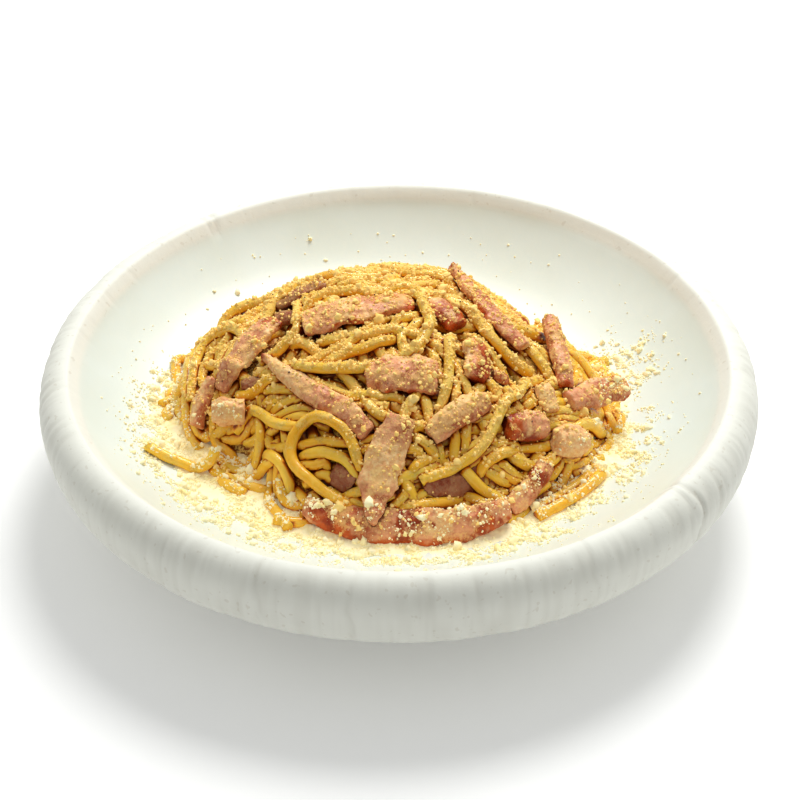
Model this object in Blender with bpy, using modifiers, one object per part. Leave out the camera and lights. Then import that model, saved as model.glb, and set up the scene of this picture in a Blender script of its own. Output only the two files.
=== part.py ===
"""Spaghetti carbonara served in a heavy stoneware pasta bowl.

The bowl is turned from one profile.  The pasta is one heap with an uneven
outline and hollows between its strands.  A low bank of grated cheese lies
round the foot of the heap, and every strip and chunk of bacon is a piece of
its own, half sunk in the heap.
"""
import math

import bmesh
import bpy
from mathutils import Matrix, Vector, noise

MM = 0.001
GAP = 0.3                      # clearance between touching pieces, mm

# Bowl, mm
BOWL_HEIGHT = 50.0
BOWL_RADIUS = 120.0            # widest point of the rim's outer bulge
BULGE_DROP = 11.0              # from the crown down to the widest point
CROWN_RADIUS = 111.0
LIP_RADIUS = 105.7             # crisp inner edge of the rim
LIP_DROP = 3.3
DISH_DEPTH = 24.0              # from the crown down to the inner floor
FLOOR_RADIUS = 60.0            # flat middle of the dish
WALL_CURVE = 2.4               # how late the dish turns up into its wall
FOOT_OUTER = 62.0
FOOT_INNER = 53.0
FOOT_HEIGHT = 8.0
RECESS_HEIGHT = 15.0           # hollow inside the foot ring
BOWL_STEPS = 48

# Heap of pasta, mm
HEAP_RISE = 43.0
HEAP_CENTRE_Y = 1.0
HEAP_FULLNESS = 2.3
HEAP_SHOULDER = 0.72
HEAP_SEGMENTS = 48
HEAP_RINGS = 20
# Reach of the heap's foot every 15 degrees from +X, anticlockwise from above
HEAP_REACH = (68, 67, 64, 63, 66, 69, 71, 71, 72, 73, 74, 76,
              77, 70, 60, 61, 64, 66, 66, 66, 66, 65, 70, 69)
# Hollows in the heap: centre x, y, radius, depth
HEAP_HOLLOWS = ((35, -17, 8, 8), (-37, 10, 6, 5), (20, -55, 10, 8),
                (-19, -56, 8, 6), (-53, -30, 7, 7), (10, -38, 4, 3),
                (-10, -31, 4, 3), (42, 26, 17, 7), (-8, 40, 22, 2))
LUMP_SIZE = 13.0
LUMP_RISE = 1.7

# Bank of grated cheese, mm
BANK_START = 148.0             # degrees, anticlockwise from +X
BANK_SWEEP = 262.0
BANK_STEPS = 36
BANK_RISE = 2.2
BANK_CLEARANCE = 1.8           # outside the foot of the heap
STRIP_REACH = 71.0             # the long strip in front of the heap lies inside this radius
STRIP_SPREAD = 34.0            # and within this many degrees of the front
# Reach of the bank at even steps along its sweep
BANK_REACH = (84, 93, 97, 98, 97, 96, 95, 95, 95, 95, 96, 97, 98, 97, 90, 84)

BACON_SIDES = 8
BACON_STEP = 4.0               # spacing of a strip's sections, mm

floor_z = BOWL_HEIGHT - DISH_DEPTH


def clear_scene():
    for thing in list(bpy.data.objects):
        bpy.data.objects.remove(thing, do_unlink=True)


def make_collection(name):
    collection = bpy.data.collections.new(name)
    bpy.context.scene.collection.children.link(collection)
    return collection


def make_material(name, colour, roughness):
    material = bpy.data.materials.new(name)
    material.use_nodes = True
    shader = material.node_tree.nodes["Principled BSDF"]
    shader.inputs["Base Color"].default_value = (*colour, 1.0)
    shader.inputs["Roughness"].default_value = roughness
    shader.inputs["Metallic"].default_value = 0.0
    material.diffuse_color = (*colour, 1.0)
    return material


def finish_object(bm, name, collection, material):
    """Turn a bmesh drawn in millimetres into a named object in metres."""
    bmesh.ops.scale(bm, vec=(MM, MM, MM), verts=bm.verts)
    bm.normal_update()
    bmesh.ops.recalc_face_normals(bm, faces=bm.faces)
    mesh = bpy.data.meshes.new(name)
    bm.to_mesh(mesh)
    bm.free()
    mesh.shade_smooth()
    mesh.materials.append(material)
    thing = bpy.data.objects.new(name, mesh)
    collection.objects.link(thing)
    return thing


def cut(thing, cutter):
    boolean = thing.modifiers.new("cut_" + cutter.name, "BOOLEAN")
    boolean.operation = "DIFFERENCE"
    boolean.solver = "EXACT"
    boolean.object = cutter


def settle(thing):
    """Apply the cuts and keep the largest closed body they leave."""
    depsgraph = bpy.context.evaluated_depsgraph_get()
    cut_mesh = bpy.data.meshes.new_from_object(thing.evaluated_get(depsgraph))
    bm = bmesh.new()
    bm.from_mesh(cut_mesh)
    unseen = set(bm.verts)
    bodies = []
    while unseen:
        body = [unseen.pop()]
        for vert in body:
            for edge in vert.link_edges:
                other = edge.other_vert(vert)
                if other in unseen:
                    unseen.remove(other)
                    body.append(other)
        bodies.append(body)
    bodies.sort(key=len)
    for body in bodies[:-1]:
        bmesh.ops.delete(bm, geom=body, context="VERTS")
    bmesh.ops.triangulate(bm, faces=bm.faces)
    bm.to_mesh(cut_mesh)
    bm.free()
    thing.modifiers.clear()
    thing.data = cut_mesh
    cut_mesh.shade_smooth()


def cyclic_curve(values, position):
    """Smooth closed curve through evenly spaced values."""
    count = len(values)
    base = math.floor(position)
    t = position - base
    p0, p1, p2, p3 = (values[(base + k - 1) % count] for k in range(4))
    return p1 + 0.5 * t * (p2 - p0 + t * (2 * p0 - 5 * p1 + 4 * p2 - p3
                                          + t * (3 * (p1 - p2) + p3 - p0)))


def open_curve(points, position):
    """Smooth open curve through points, position from 0 to the last one."""
    last = len(points) - 1
    base = min(math.floor(position), last - 1)
    t = position - base
    p0, p1, p2, p3 = (points[min(max(base + k - 1, 0), last)] for k in range(4))
    return p1 + 0.5 * t * (p2 - p0 + t * (2 * p0 - 5 * p1 + 4 * p2 - p3
                                          + t * (3 * (p1 - p2) + p3 - p0)))


# ---------------------------------------------------------------- bowl

def dish_height(radius):
    """Height of the inside of the bowl at a distance from its axis."""
    climb = max(0.0, (radius - FLOOR_RADIUS) / (LIP_RADIUS - FLOOR_RADIUS))
    return floor_z + (DISH_DEPTH - LIP_DROP - 1.6) * climb ** WALL_CURVE


def bowl_profile():
    """Points (radius, height) from the dish's centre over the rim to the foot."""
    inside = [(r, dish_height(r)) for r in (0, 30, 60, 68, 75, 81, 87, 92, 97, 101, 104)]
    lip_z = BOWL_HEIGHT - LIP_DROP
    lip = [(LIP_RADIUS + 0.5, lip_z - 1.2), (LIP_RADIUS, lip_z)]
    crown = []
    for step in range(1, 4):
        turn = math.radians(30 * step)
        crown.append((CROWN_RADIUS - (CROWN_RADIUS - LIP_RADIUS) * math.cos(turn),
                      lip_z + LIP_DROP * math.sin(turn)))
    bulge = []
    for step in range(1, 5):
        turn = math.radians(22.5 * step)
        bulge.append((CROWN_RADIUS + (BOWL_RADIUS - CROWN_RADIUS) * math.sin(turn),
                      BOWL_HEIGHT - BULGE_DROP * (1 - math.cos(turn))))
    under = [(119.4, BOWL_HEIGHT - 17.0), (116.6, BOWL_HEIGHT - 22.5),
             (111.0, BOWL_HEIGHT - 27.0), (101.0, BOWL_HEIGHT - 32.0),
             (86.0, BOWL_HEIGHT - 37.0), (71.0, FOOT_HEIGHT + 1.6),
             (FOOT_OUTER + 1.6, FOOT_HEIGHT)]
    foot = [(FOOT_OUTER + 0.4, FOOT_HEIGHT - 2.0), (FOOT_OUTER, 1.2),
            (FOOT_OUTER - 1.2, 0.0), (FOOT_INNER + 1.2, 0.0), (FOOT_INNER, 1.2),
            (FOOT_INNER - 1.0, RECESS_HEIGHT - 3.0), (FOOT_INNER - 4.0, RECESS_HEIGHT - 0.4),
            (26.0, RECESS_HEIGHT + 0.4), (0.0, RECESS_HEIGHT + 0.6)]
    return inside + lip + crown + bulge + under + foot


def make_bowl(collection):
    mesh = bpy.data.meshes.new("bowl")
    bm = bmesh.new()
    rows = [bm.verts.new((r * MM, 0, z * MM)) for r, z in bowl_profile()]
    for lower, upper in zip(rows, rows[1:]):
        bm.edges.new((lower, upper))
    bm.to_mesh(mesh)
    bm.free()
    mesh.materials.append(make_material("glazed_stoneware", (0.86, 0.85, 0.80), 0.28))
    bowl = bpy.data.objects.new("bowl", mesh)
    collection.objects.link(bowl)
    screw = bowl.modifiers.new("turn", "SCREW")
    screw.steps = BOWL_STEPS
    screw.render_steps = BOWL_STEPS
    screw.use_merge_vertices = True
    screw.merge_threshold = 0.00005
    screw.use_smooth_shade = True
    return bowl


# ---------------------------------------------------------------- heap

def heap_reach(angle):
    return cyclic_curve(HEAP_REACH, math.degrees(angle) / 15.0)


def heap_height(x, y):
    """Height of the heap's surface above a place on the floor of the dish."""
    dy = y - HEAP_CENTRE_Y
    share = math.hypot(x, dy) / heap_reach(math.atan2(dy, x))
    if share >= 1.0:
        return floor_z
    dome = HEAP_RISE * (1.0 - share ** HEAP_FULLNESS) ** HEAP_SHOULDER
    for hx, hy, radius, depth in HEAP_HOLLOWS:
        fall = ((x - hx) ** 2 + (y - hy) ** 2) / (radius * radius)
        dome -= depth * math.exp(-fall) * min(1.0, dome / 12.0)
    lumps = noise.noise(Vector((x, y, dome * 0.6)) / LUMP_SIZE)
    lumps += 0.5 * noise.noise(Vector((x, y + 40.0, dome)) / (LUMP_SIZE * 0.45))
    dome += LUMP_RISE * lumps * min(1.0, dome / 6.0)
    return floor_z + max(dome, GAP)


def make_heap(collection):
    bm = bmesh.new()
    bmesh.ops.create_uvsphere(bm, u_segments=HEAP_SEGMENTS, v_segments=HEAP_RINGS, radius=1.0)
    geometry = bm.verts[:] + bm.edges[:] + bm.faces[:]
    bmesh.ops.bisect_plane(bm, geom=geometry, dist=0.0001, plane_co=(0, 0, 0),
                           plane_no=(0, 0, -1), clear_outer=True)
    bmesh.ops.holes_fill(bm, edges=[edge for edge in bm.edges if edge.is_boundary], sides=0)
    for vert in bm.verts:
        angle = math.atan2(vert.co.y, vert.co.x)
        share = min(1.0, math.hypot(vert.co.x, vert.co.y))
        reach = share * heap_reach(angle)
        x = reach * math.cos(angle)
        y = HEAP_CENTRE_Y + reach * math.sin(angle)
        on_rim = share > 0.9999
        rest = dish_height(math.hypot(x, y)) + GAP
        vert.co = (x, y, rest if on_rim else max(heap_height(x, y), rest + 0.2))
    material = make_material("sauced_spaghetti", (0.87, 0.66, 0.27), 0.45)
    return finish_object(bm, "pasta", collection, material)


# ---------------------------------------------------------------- cheese

def make_cheese_bank(collection):
    """Low bank round the foot of the heap, a rod flattened onto the dish."""
    bm = bmesh.new()
    bmesh.ops.create_cone(bm, cap_ends=True, cap_tris=False, segments=8,
                          radius1=1.0, radius2=1.0, depth=1.0)
    long_edges = [e for e in bm.edges if abs(e.verts[0].co.z - e.verts[1].co.z) > 0.5]
    bmesh.ops.subdivide_edges(bm, edges=long_edges, cuts=BANK_STEPS - 1)
    last = len(BANK_REACH) - 1
    for vert in bm.verts:
        along = vert.co.z + 0.5
        across = vert.co.x
        angle = math.radians(BANK_START + BANK_SWEEP * along)
        centre_dy = HEAP_CENTRE_Y * math.sin(angle)
        inner = heap_reach(angle) + centre_dy + BANK_CLEARANCE
        if abs(math.degrees(angle) - 270.0) < STRIP_SPREAD:
            inner = max(inner, STRIP_REACH)
        outer = open_curve(BANK_REACH, along * last)
        radius = 0.5 * (inner + outer) + 0.5 * (outer - inner) * across
        place = Vector((radius * math.cos(angle), radius * math.sin(angle), 0.0))
        crown = BANK_RISE * (1.2 - across * across) * min(1.0, 12 * along, 12 * (1 - along))
        crown *= 1.0 + 0.5 * noise.noise(place / 9.0)
        lift = (vert.co.y + 1.0) * 0.5
        place.z = dish_height(radius) + 2 * GAP + (0.4 + max(crown, 0.2)) * lift
        vert.co = place
    material = make_material("grated_cheese", (0.93, 0.85, 0.58), 0.8)
    return finish_object(bm, "grated_cheese", collection, material)


# ---------------------------------------------------------------- bacon

def on_heap(x, y, rise):
    return Vector((x, y, heap_height(x, y) + rise))


def on_dish(x, y, rise):
    return Vector((x, y, dish_height(math.hypot(x, y)) + rise))


def place_at(x, y, z):
    return Vector((x, y, z))


def heap_facing(place):
    """Direction the heap's surface faces at a place."""
    reach = 4.0
    slope_x = heap_height(place.x + reach, place.y) - heap_height(place.x - reach, place.y)
    slope_y = heap_height(place.x, place.y + reach) - heap_height(place.x, place.y - reach)
    return Vector((-slope_x, -slope_y, 2 * reach)).normalized()


def make_strip(name, spine, width, thickness, facing, taper, swell, collection, material):
    """A bacon strip: an eight-sided rod bent along its spine.

    facing is the direction of its broad side (None follows the heap),
    taper the share of the width left at each end, swell the clearance
    added all round for the hole that the strip lies in.
    """
    length = sum((b - a).length for a, b in zip(spine, spine[1:]))
    steps = max(3, round(length / BACON_STEP))
    bm = bmesh.new()
    bmesh.ops.create_cone(bm, cap_ends=True, cap_tris=False, segments=BACON_SIDES,
                          radius1=1.0, radius2=1.0, depth=1.0)
    bmesh.ops.rotate(bm, verts=bm.verts, matrix=Matrix.Rotation(math.pi / BACON_SIDES, 3, "Z"))
    long_edges = [e for e in bm.edges if abs(e.verts[0].co.z - e.verts[1].co.z) > 0.5]
    bmesh.ops.subdivide_edges(bm, edges=long_edges, cuts=steps - 1)
    last = len(spine) - 1
    for vert in bm.verts:
        along = vert.co.z + 0.5
        place = open_curve(spine, along * last)
        ahead = open_curve(spine, min(along * last + 0.05, last))
        behind = open_curve(spine, max(along * last - 0.05, 0))
        run = (ahead - behind).normalized()
        up = facing if facing else heap_facing(place)
        side = run.cross(up).normalized()
        up = side.cross(run)
        start_share, end_share = taper
        ends = 1.0
        ends *= start_share + (1 - start_share) * min(1.0, along * 3.0)
        ends *= end_share + (1 - end_share) * min(1.0, (1.0 - along) * 3.0)
        wave = 1.0 + 0.10 * math.sin(place.x * 0.9 + place.y * 0.7 + width)
        ripple = 0.35 * math.sin(place.x * 0.6 - place.y * 0.8 + 2 * width)
        half_width = 0.54 * width * ends * wave + swell
        half_thick = 0.54 * thickness * (0.7 + 0.3 * ends) + swell
        end_swell = swell if along > 0.999 else (-swell if along < 0.001 else 0.0)
        place += side * (vert.co.x * half_width) + run * end_swell
        place += up * (vert.co.y * half_thick + ripple)
        lowest = dish_height(math.hypot(place.x, place.y)) + 2 * GAP - swell
        place.z = max(place.z, lowest)
        vert.co = place
    return finish_object(bm, name, collection, material)


FRONT_LEAN = Vector((0.0, -0.80, 0.60))
STEEP_LEAN = Vector((0.1, -0.62, 0.78))
NO_TAPER = (0.85, 0.85)


def bacon_strips():
    """Each strip: name, spine, width, thickness, facing, taper.

    A later strip lies over an earlier one where they meet.
    """
    heap, dish, spot = on_heap, on_dish, place_at
    return (
        ("bacon_back_left", (heap(-46, 48, 0), heap(-37, 55, 0.6), heap(-27, 60, 0)),
         8, 5, None, (0.7, 0.9)),
        ("bacon_back_middle", (heap(-3, 66, 0), heap(5, 65, 0.6), heap(13, 61, 0)),
         8, 5, None, (0.9, 0.6)),
        ("bacon_back_right", (heap(29, 54, 0), heap(37, 47, 0.5), heap(43, 39, 0)),
         7, 5, None, NO_TAPER),
        ("bacon_under_strands", (heap(-41, 20, -0.5), heap(-33, 22, 0), heap(-25, 25, -0.5)),
         6, 4, None, (0.6, 0.8)),
        ("bacon_left_hollow", (heap(-41, 13, -0.5), heap(-34, 12, -0.5)), 5, 4, None, NO_TAPER),
        ("bacon_left_pocket", (heap(-51, -14, -1.5), heap(-45, -16, -2)), 4.5, 4, None, NO_TAPER),
        ("bacon_behind_loop", (heap(-21, -49, -3), heap(-14, -53, -2.5)), 8, 4, None, NO_TAPER),
        ("bacon_front_recess", (heap(8, -56, 0), heap(18, -52, 0.5), heap(26, -49, -1)),
         10, 4, None, (0.5, 0.6)),
        ("bacon_left_long", (heap(-41.5, 6.5, 1.2), heap(-47.5, -0.5, 1.2), heap(-55, -8, 0.5)),
         9, 5, None, (0.8, 0.75)),
        ("bacon_left_edge", (spot(-61, -8, 47), spot(-65, -13, 41), spot(-67, -19, 36)),
         5.5, 6, None, (0.8, 0.6)),
        ("bacon_left_chunk", (spot(-61, -24, 45.5), spot(-50.5, -24, 45.5)), 8, 7, None, (0.8, 0.9)),
        ("bacon_fatty_long", (heap(-44.5, -10, 1.6), heap(-36, -20, 1.6), heap(-26, -31, 1.2),
                              heap(-16, -40, 1.0), heap(-10, -46, 0.6)),
         7, 4.4, None, (0.25, 0.8)),
        ("bacon_wide_top", (heap(-31, -3, 1), heap(-20, -1.5, 1.6), heap(-8, 1, 1.2),
                            heap(4, 5, 0.6)),
         12, 5, None, (0.8, 0.75)),
        ("bacon_wide_middle", (heap(-10, -27.5, -0.5), heap(0, -29, 0.8), heap(12, -29, 0.6)),
         12, 5, None, (0.6, 0.85)),
        ("bacon_crisp_top", (heap(11, 5, -0.5), heap(15, 0, 0.8), heap(19, -6, 0.2)),
         8, 5, None, (0.7, 0.8)),
        ("bacon_crisp_upright", (heap(24.5, -12, 1), heap(25.5, -20, 1.8), heap(24.5, -27.5, 0.6)),
         8.5, 5.5, None, (0.75, 0.8)),
        ("bacon_small_bit", (heap(30.8, -21.5, 1.0), heap(34.5, -19.5, 1.5)), 4.5, 4, None, NO_TAPER),
        ("bacon_raised_strip", (spot(17.5, 30, 67), spot(21.5, 23.5, 65.2), spot(26, 15, 64.8),
                                spot(31, 6, 63.9), spot(36, -1, 61.5), spot(41, -6, 58.9)),
         7.2, 4.5, None, (0.2, 0.7)),
        ("bacon_orange_lump", (heap(46.5, -20, 1.2), heap(49.5, -27.5, 1.0)),
         6, 5, None, (0.7, 0.8)),
        ("bacon_right_upright", (spot(50.8, 14, 55.5), spot(52.5, 3, 54), spot(54, -8, 51.5),
                                 spot(54.5, -15, 49)),
         6.5, 6, None, (0.85, 0.7)),
        ("bacon_cheesy", (heap(10, -46, 1), heap(19, -39.5, 1.4), heap(28, -33, 1)),
         8, 5, None, (0.7, 0.7)),
        ("bacon_right_foot", (spot(35.5, -57, 30.5), spot(42, -50, 34.5), spot(47.5, -43, 38.5)),
         6, 5, None, (0.8, 0.9)),
        ("bacon_orange_chunk", (spot(50.5, -37, 43), spot(56, -33.5, 40.5), spot(61, -30, 38)),
         9, 7, None, (0.85, 0.7)),
        ("bacon_crisp_chunk", (heap(34.5, -38, 1.4), heap(41, -34.5, 1.4), heap(47, -31.5, 0.4)),
         8.5, 7.5, None, (0.9, 0.8)),
        ("bacon_overhang", (spot(55.5, -20, 47), spot(62, -12, 43), spot(69, -7, 41.5),
                            spot(75.5, -3.5, 41)),
         8.5, 5.5, STEEP_LEAN, (0.7, 0.95)),
        ("bacon_front_strip", (dish(-30, -58, 6.5), dish(-20, -63, 5.6), dish(-8, -65.5, 5.8),
                               dish(5, -66.5, 5.8), dish(18, -66, 5.8), dish(28, -63.5, 6.4),
                               dish(34.5, -59.5, 6.6)),
         10.5, 4.6, FRONT_LEAN, (0.55, 0.6)),
        ("bacon_hanging", (heap(1, -43, 1.2), heap(-3.5, -51, 2.2), heap(-6.8, -58.5, 3.4),
                           dish(-8.5, -69.5, 8.5)),
         11, 4.2, None, (0.75, 0.15)),
    )


def boxes_meet(first, second):
    lows = [min(v.co[axis] for v in thing.data.vertices)
            for thing in (first, second) for axis in range(3)]
    highs = [max(v.co[axis] for v in thing.data.vertices)
             for thing in (first, second) for axis in range(3)]
    return all(lows[axis] < highs[axis + 3] and lows[axis + 3] < highs[axis]
               for axis in range(3))


def main():
    clear_scene()
    parts = make_collection("pasta_carbonara")
    cutters = make_collection("cutters")
    bacon_material = make_material("fried_bacon", (0.62, 0.33, 0.25), 0.4)

    make_bowl(parts)
    heap = make_heap(parts)
    bank = make_cheese_bank(parts)

    strips = []
    hollows = []
    for name, spine, width, thickness, facing, taper in bacon_strips():
        strips.append(make_strip(name, spine, width, thickness, facing, taper, 0.0,
                                 parts, bacon_material))
        hollow = make_strip(name + "_hollow", spine, width, thickness, facing, taper, GAP,
                            cutters, bacon_material)
        hollow.hide_render = True
        hollow.display_type = "WIRE"
        hollows.append(hollow)

    for thing in (heap, bank):
        for hollow in hollows:
            if boxes_meet(thing, hollow):
                cut(thing, hollow)
        settle(thing)
    for index, strip in enumerate(strips):
        over = [hollow for hollow in hollows[index + 1:] if boxes_meet(strip, hollow)]
        for hollow in over:
            cut(strip, hollow)
        if over:
            settle(strip)


main()
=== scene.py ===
"""A bowl of spaghetti carbonara: stoneware bowl, sauced strands, fried bacon, grated cheese."""
import math

import bmesh
import bpy
import numpy as np
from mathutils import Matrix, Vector, noise
from mathutils.bvhtree import BVHTree


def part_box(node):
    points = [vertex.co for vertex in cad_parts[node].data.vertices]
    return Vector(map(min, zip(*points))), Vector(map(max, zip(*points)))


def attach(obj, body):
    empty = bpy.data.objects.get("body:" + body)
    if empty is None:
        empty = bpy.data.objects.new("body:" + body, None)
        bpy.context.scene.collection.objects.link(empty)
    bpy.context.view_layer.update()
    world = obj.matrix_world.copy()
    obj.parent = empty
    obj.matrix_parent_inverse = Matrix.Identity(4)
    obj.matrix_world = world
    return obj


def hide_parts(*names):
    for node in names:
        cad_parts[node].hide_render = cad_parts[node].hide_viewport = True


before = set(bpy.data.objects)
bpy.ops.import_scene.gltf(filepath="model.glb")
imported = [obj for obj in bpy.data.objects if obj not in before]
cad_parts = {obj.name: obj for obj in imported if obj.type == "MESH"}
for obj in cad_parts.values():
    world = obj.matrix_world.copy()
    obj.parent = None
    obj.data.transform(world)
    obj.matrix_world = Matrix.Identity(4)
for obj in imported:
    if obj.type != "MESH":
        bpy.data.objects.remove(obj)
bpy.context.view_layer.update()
chance = np.random.default_rng(11)

MM = 0.001                     # sizes below are in millimetres

# Bowl
bowl_low, bowl_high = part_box("bowl")
RIM_TOP = bowl_high.z / MM
RIM_RADIUS = bowl_high.x / MM            # widest point of the rim's outer bulge
CROWN_RADIUS = RIM_RADIUS - 9.0
LIP_RADIUS = RIM_RADIUS - 14.3           # crisp inner edge of the rim
LIP_DROP = 3.3
BULGE_DROP = 11.0                        # from the crown down to the widest point
DISH_DEPTH = 24.0                        # from the crown down to the inner floor
DISH_FLOOR = RIM_TOP - DISH_DEPTH
FLOOR_RADIUS = 60.0                      # flat middle of the dish
WALL_RISE = DISH_DEPTH - LIP_DROP - 1.6
WALL_CURVE = 2.4                         # how late the dish turns up into its wall
FOOT_OUTER = 62.0
FOOT_INNER = 53.0
FOOT_HEIGHT = 8.0
RECESS_HEIGHT = 15.0                     # hollow inside the foot ring
TURNING_STEPS = 720
STREAK_LENGTH = 20.0                     # how far a streak runs down the rim's face
STREAKS = ((1.2, 0.16, 2.0), (2.4, 0.20, 5.0), (5.5, 0.22, 8.0))      # width, depth, seed
# Single deeper drag marks in the rim: direction in degrees, depth, width
NOTCHES = ((127.5, 1.0, 1.1), (129.5, 0.6, 0.8), (322.5, 1.0, 1.0), (320.0, 0.5, 0.7),
           (300.0, 0.5, 0.8), (249.0, 0.4, 0.8), (263.0, 0.4, 0.7), (150.0, 0.35, 0.8),
           (158.0, 0.4, 0.9), (171.0, 0.3, 0.8), (28.0, 0.4, 0.9), (75.0, 0.4, 0.8))

# Heap
MAP_HALF = 90.0                # the heap's height map reaches this far each way
MAP_STEP = 1.0
CORE_DEPTH = 4.8               # the sauced core lies this far under the heap's outline
FRONT_LEFT = (-34, -48)        # here the strands hang free, with little cheese on them
# Dark gaps between the strands, where the core dips and is painted with shade: centre x, y, radius,
# extra depth
GAPS = ((35, -17, 7, 8), (-37, 10, 5, 6), (20, -56, 7, 8), (-19, -55, 6, 8),
        (-52, -31, 4, 5), (41, 22, 8, 8), (9, -37, 4, 5), (-11, -31, 4, 5),
        (-49, -16, 4, 4), (14, 0, 3, 4))

# Strands
STRAND_RADIUS = 1.92
STRAND_SIDES = 12
RING_STEP = 1.25
BEAD_STEP = 2.0                # spacing of the points used while the strands settle
SETTLE_TURNS = 120
STRAND_FIT = 0.95              # beads this much of a strand's radius, so that strands press together
LAID_HOLD = 0.12               # how firmly a laid strand keeps its place while they settle
LOOSE_HOLD = 0.01
COVER_STEP = 2.0               # grid on which the loose strands note where they lie
FLOW_SIZE = 34.0               # how wide the loose strands' shared sweeps are
SWERVE = 0.10                  # how far a loose strand turns aside for bare ground, per step
SIGHT = 5.0                    # how far ahead it looks
TURN_BACK_RISE = 5.0           # it turns back where the heap is lower than this
STOP_RISE = 2.5                # and ends where the heap is lower than this
END_DIVE = 3.5                 # its ends dive this deep
END_RUN = 10.0                 # over this length
NO_LID = 200.0                 # height that stands for open air over the heap
# Layers of loose strands: depth under the outline, length of strand laid, direction seed
LAYERS = ((5.4, 5200.0, 3.7), (2.0, 6000.0, 9.1))
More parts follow.
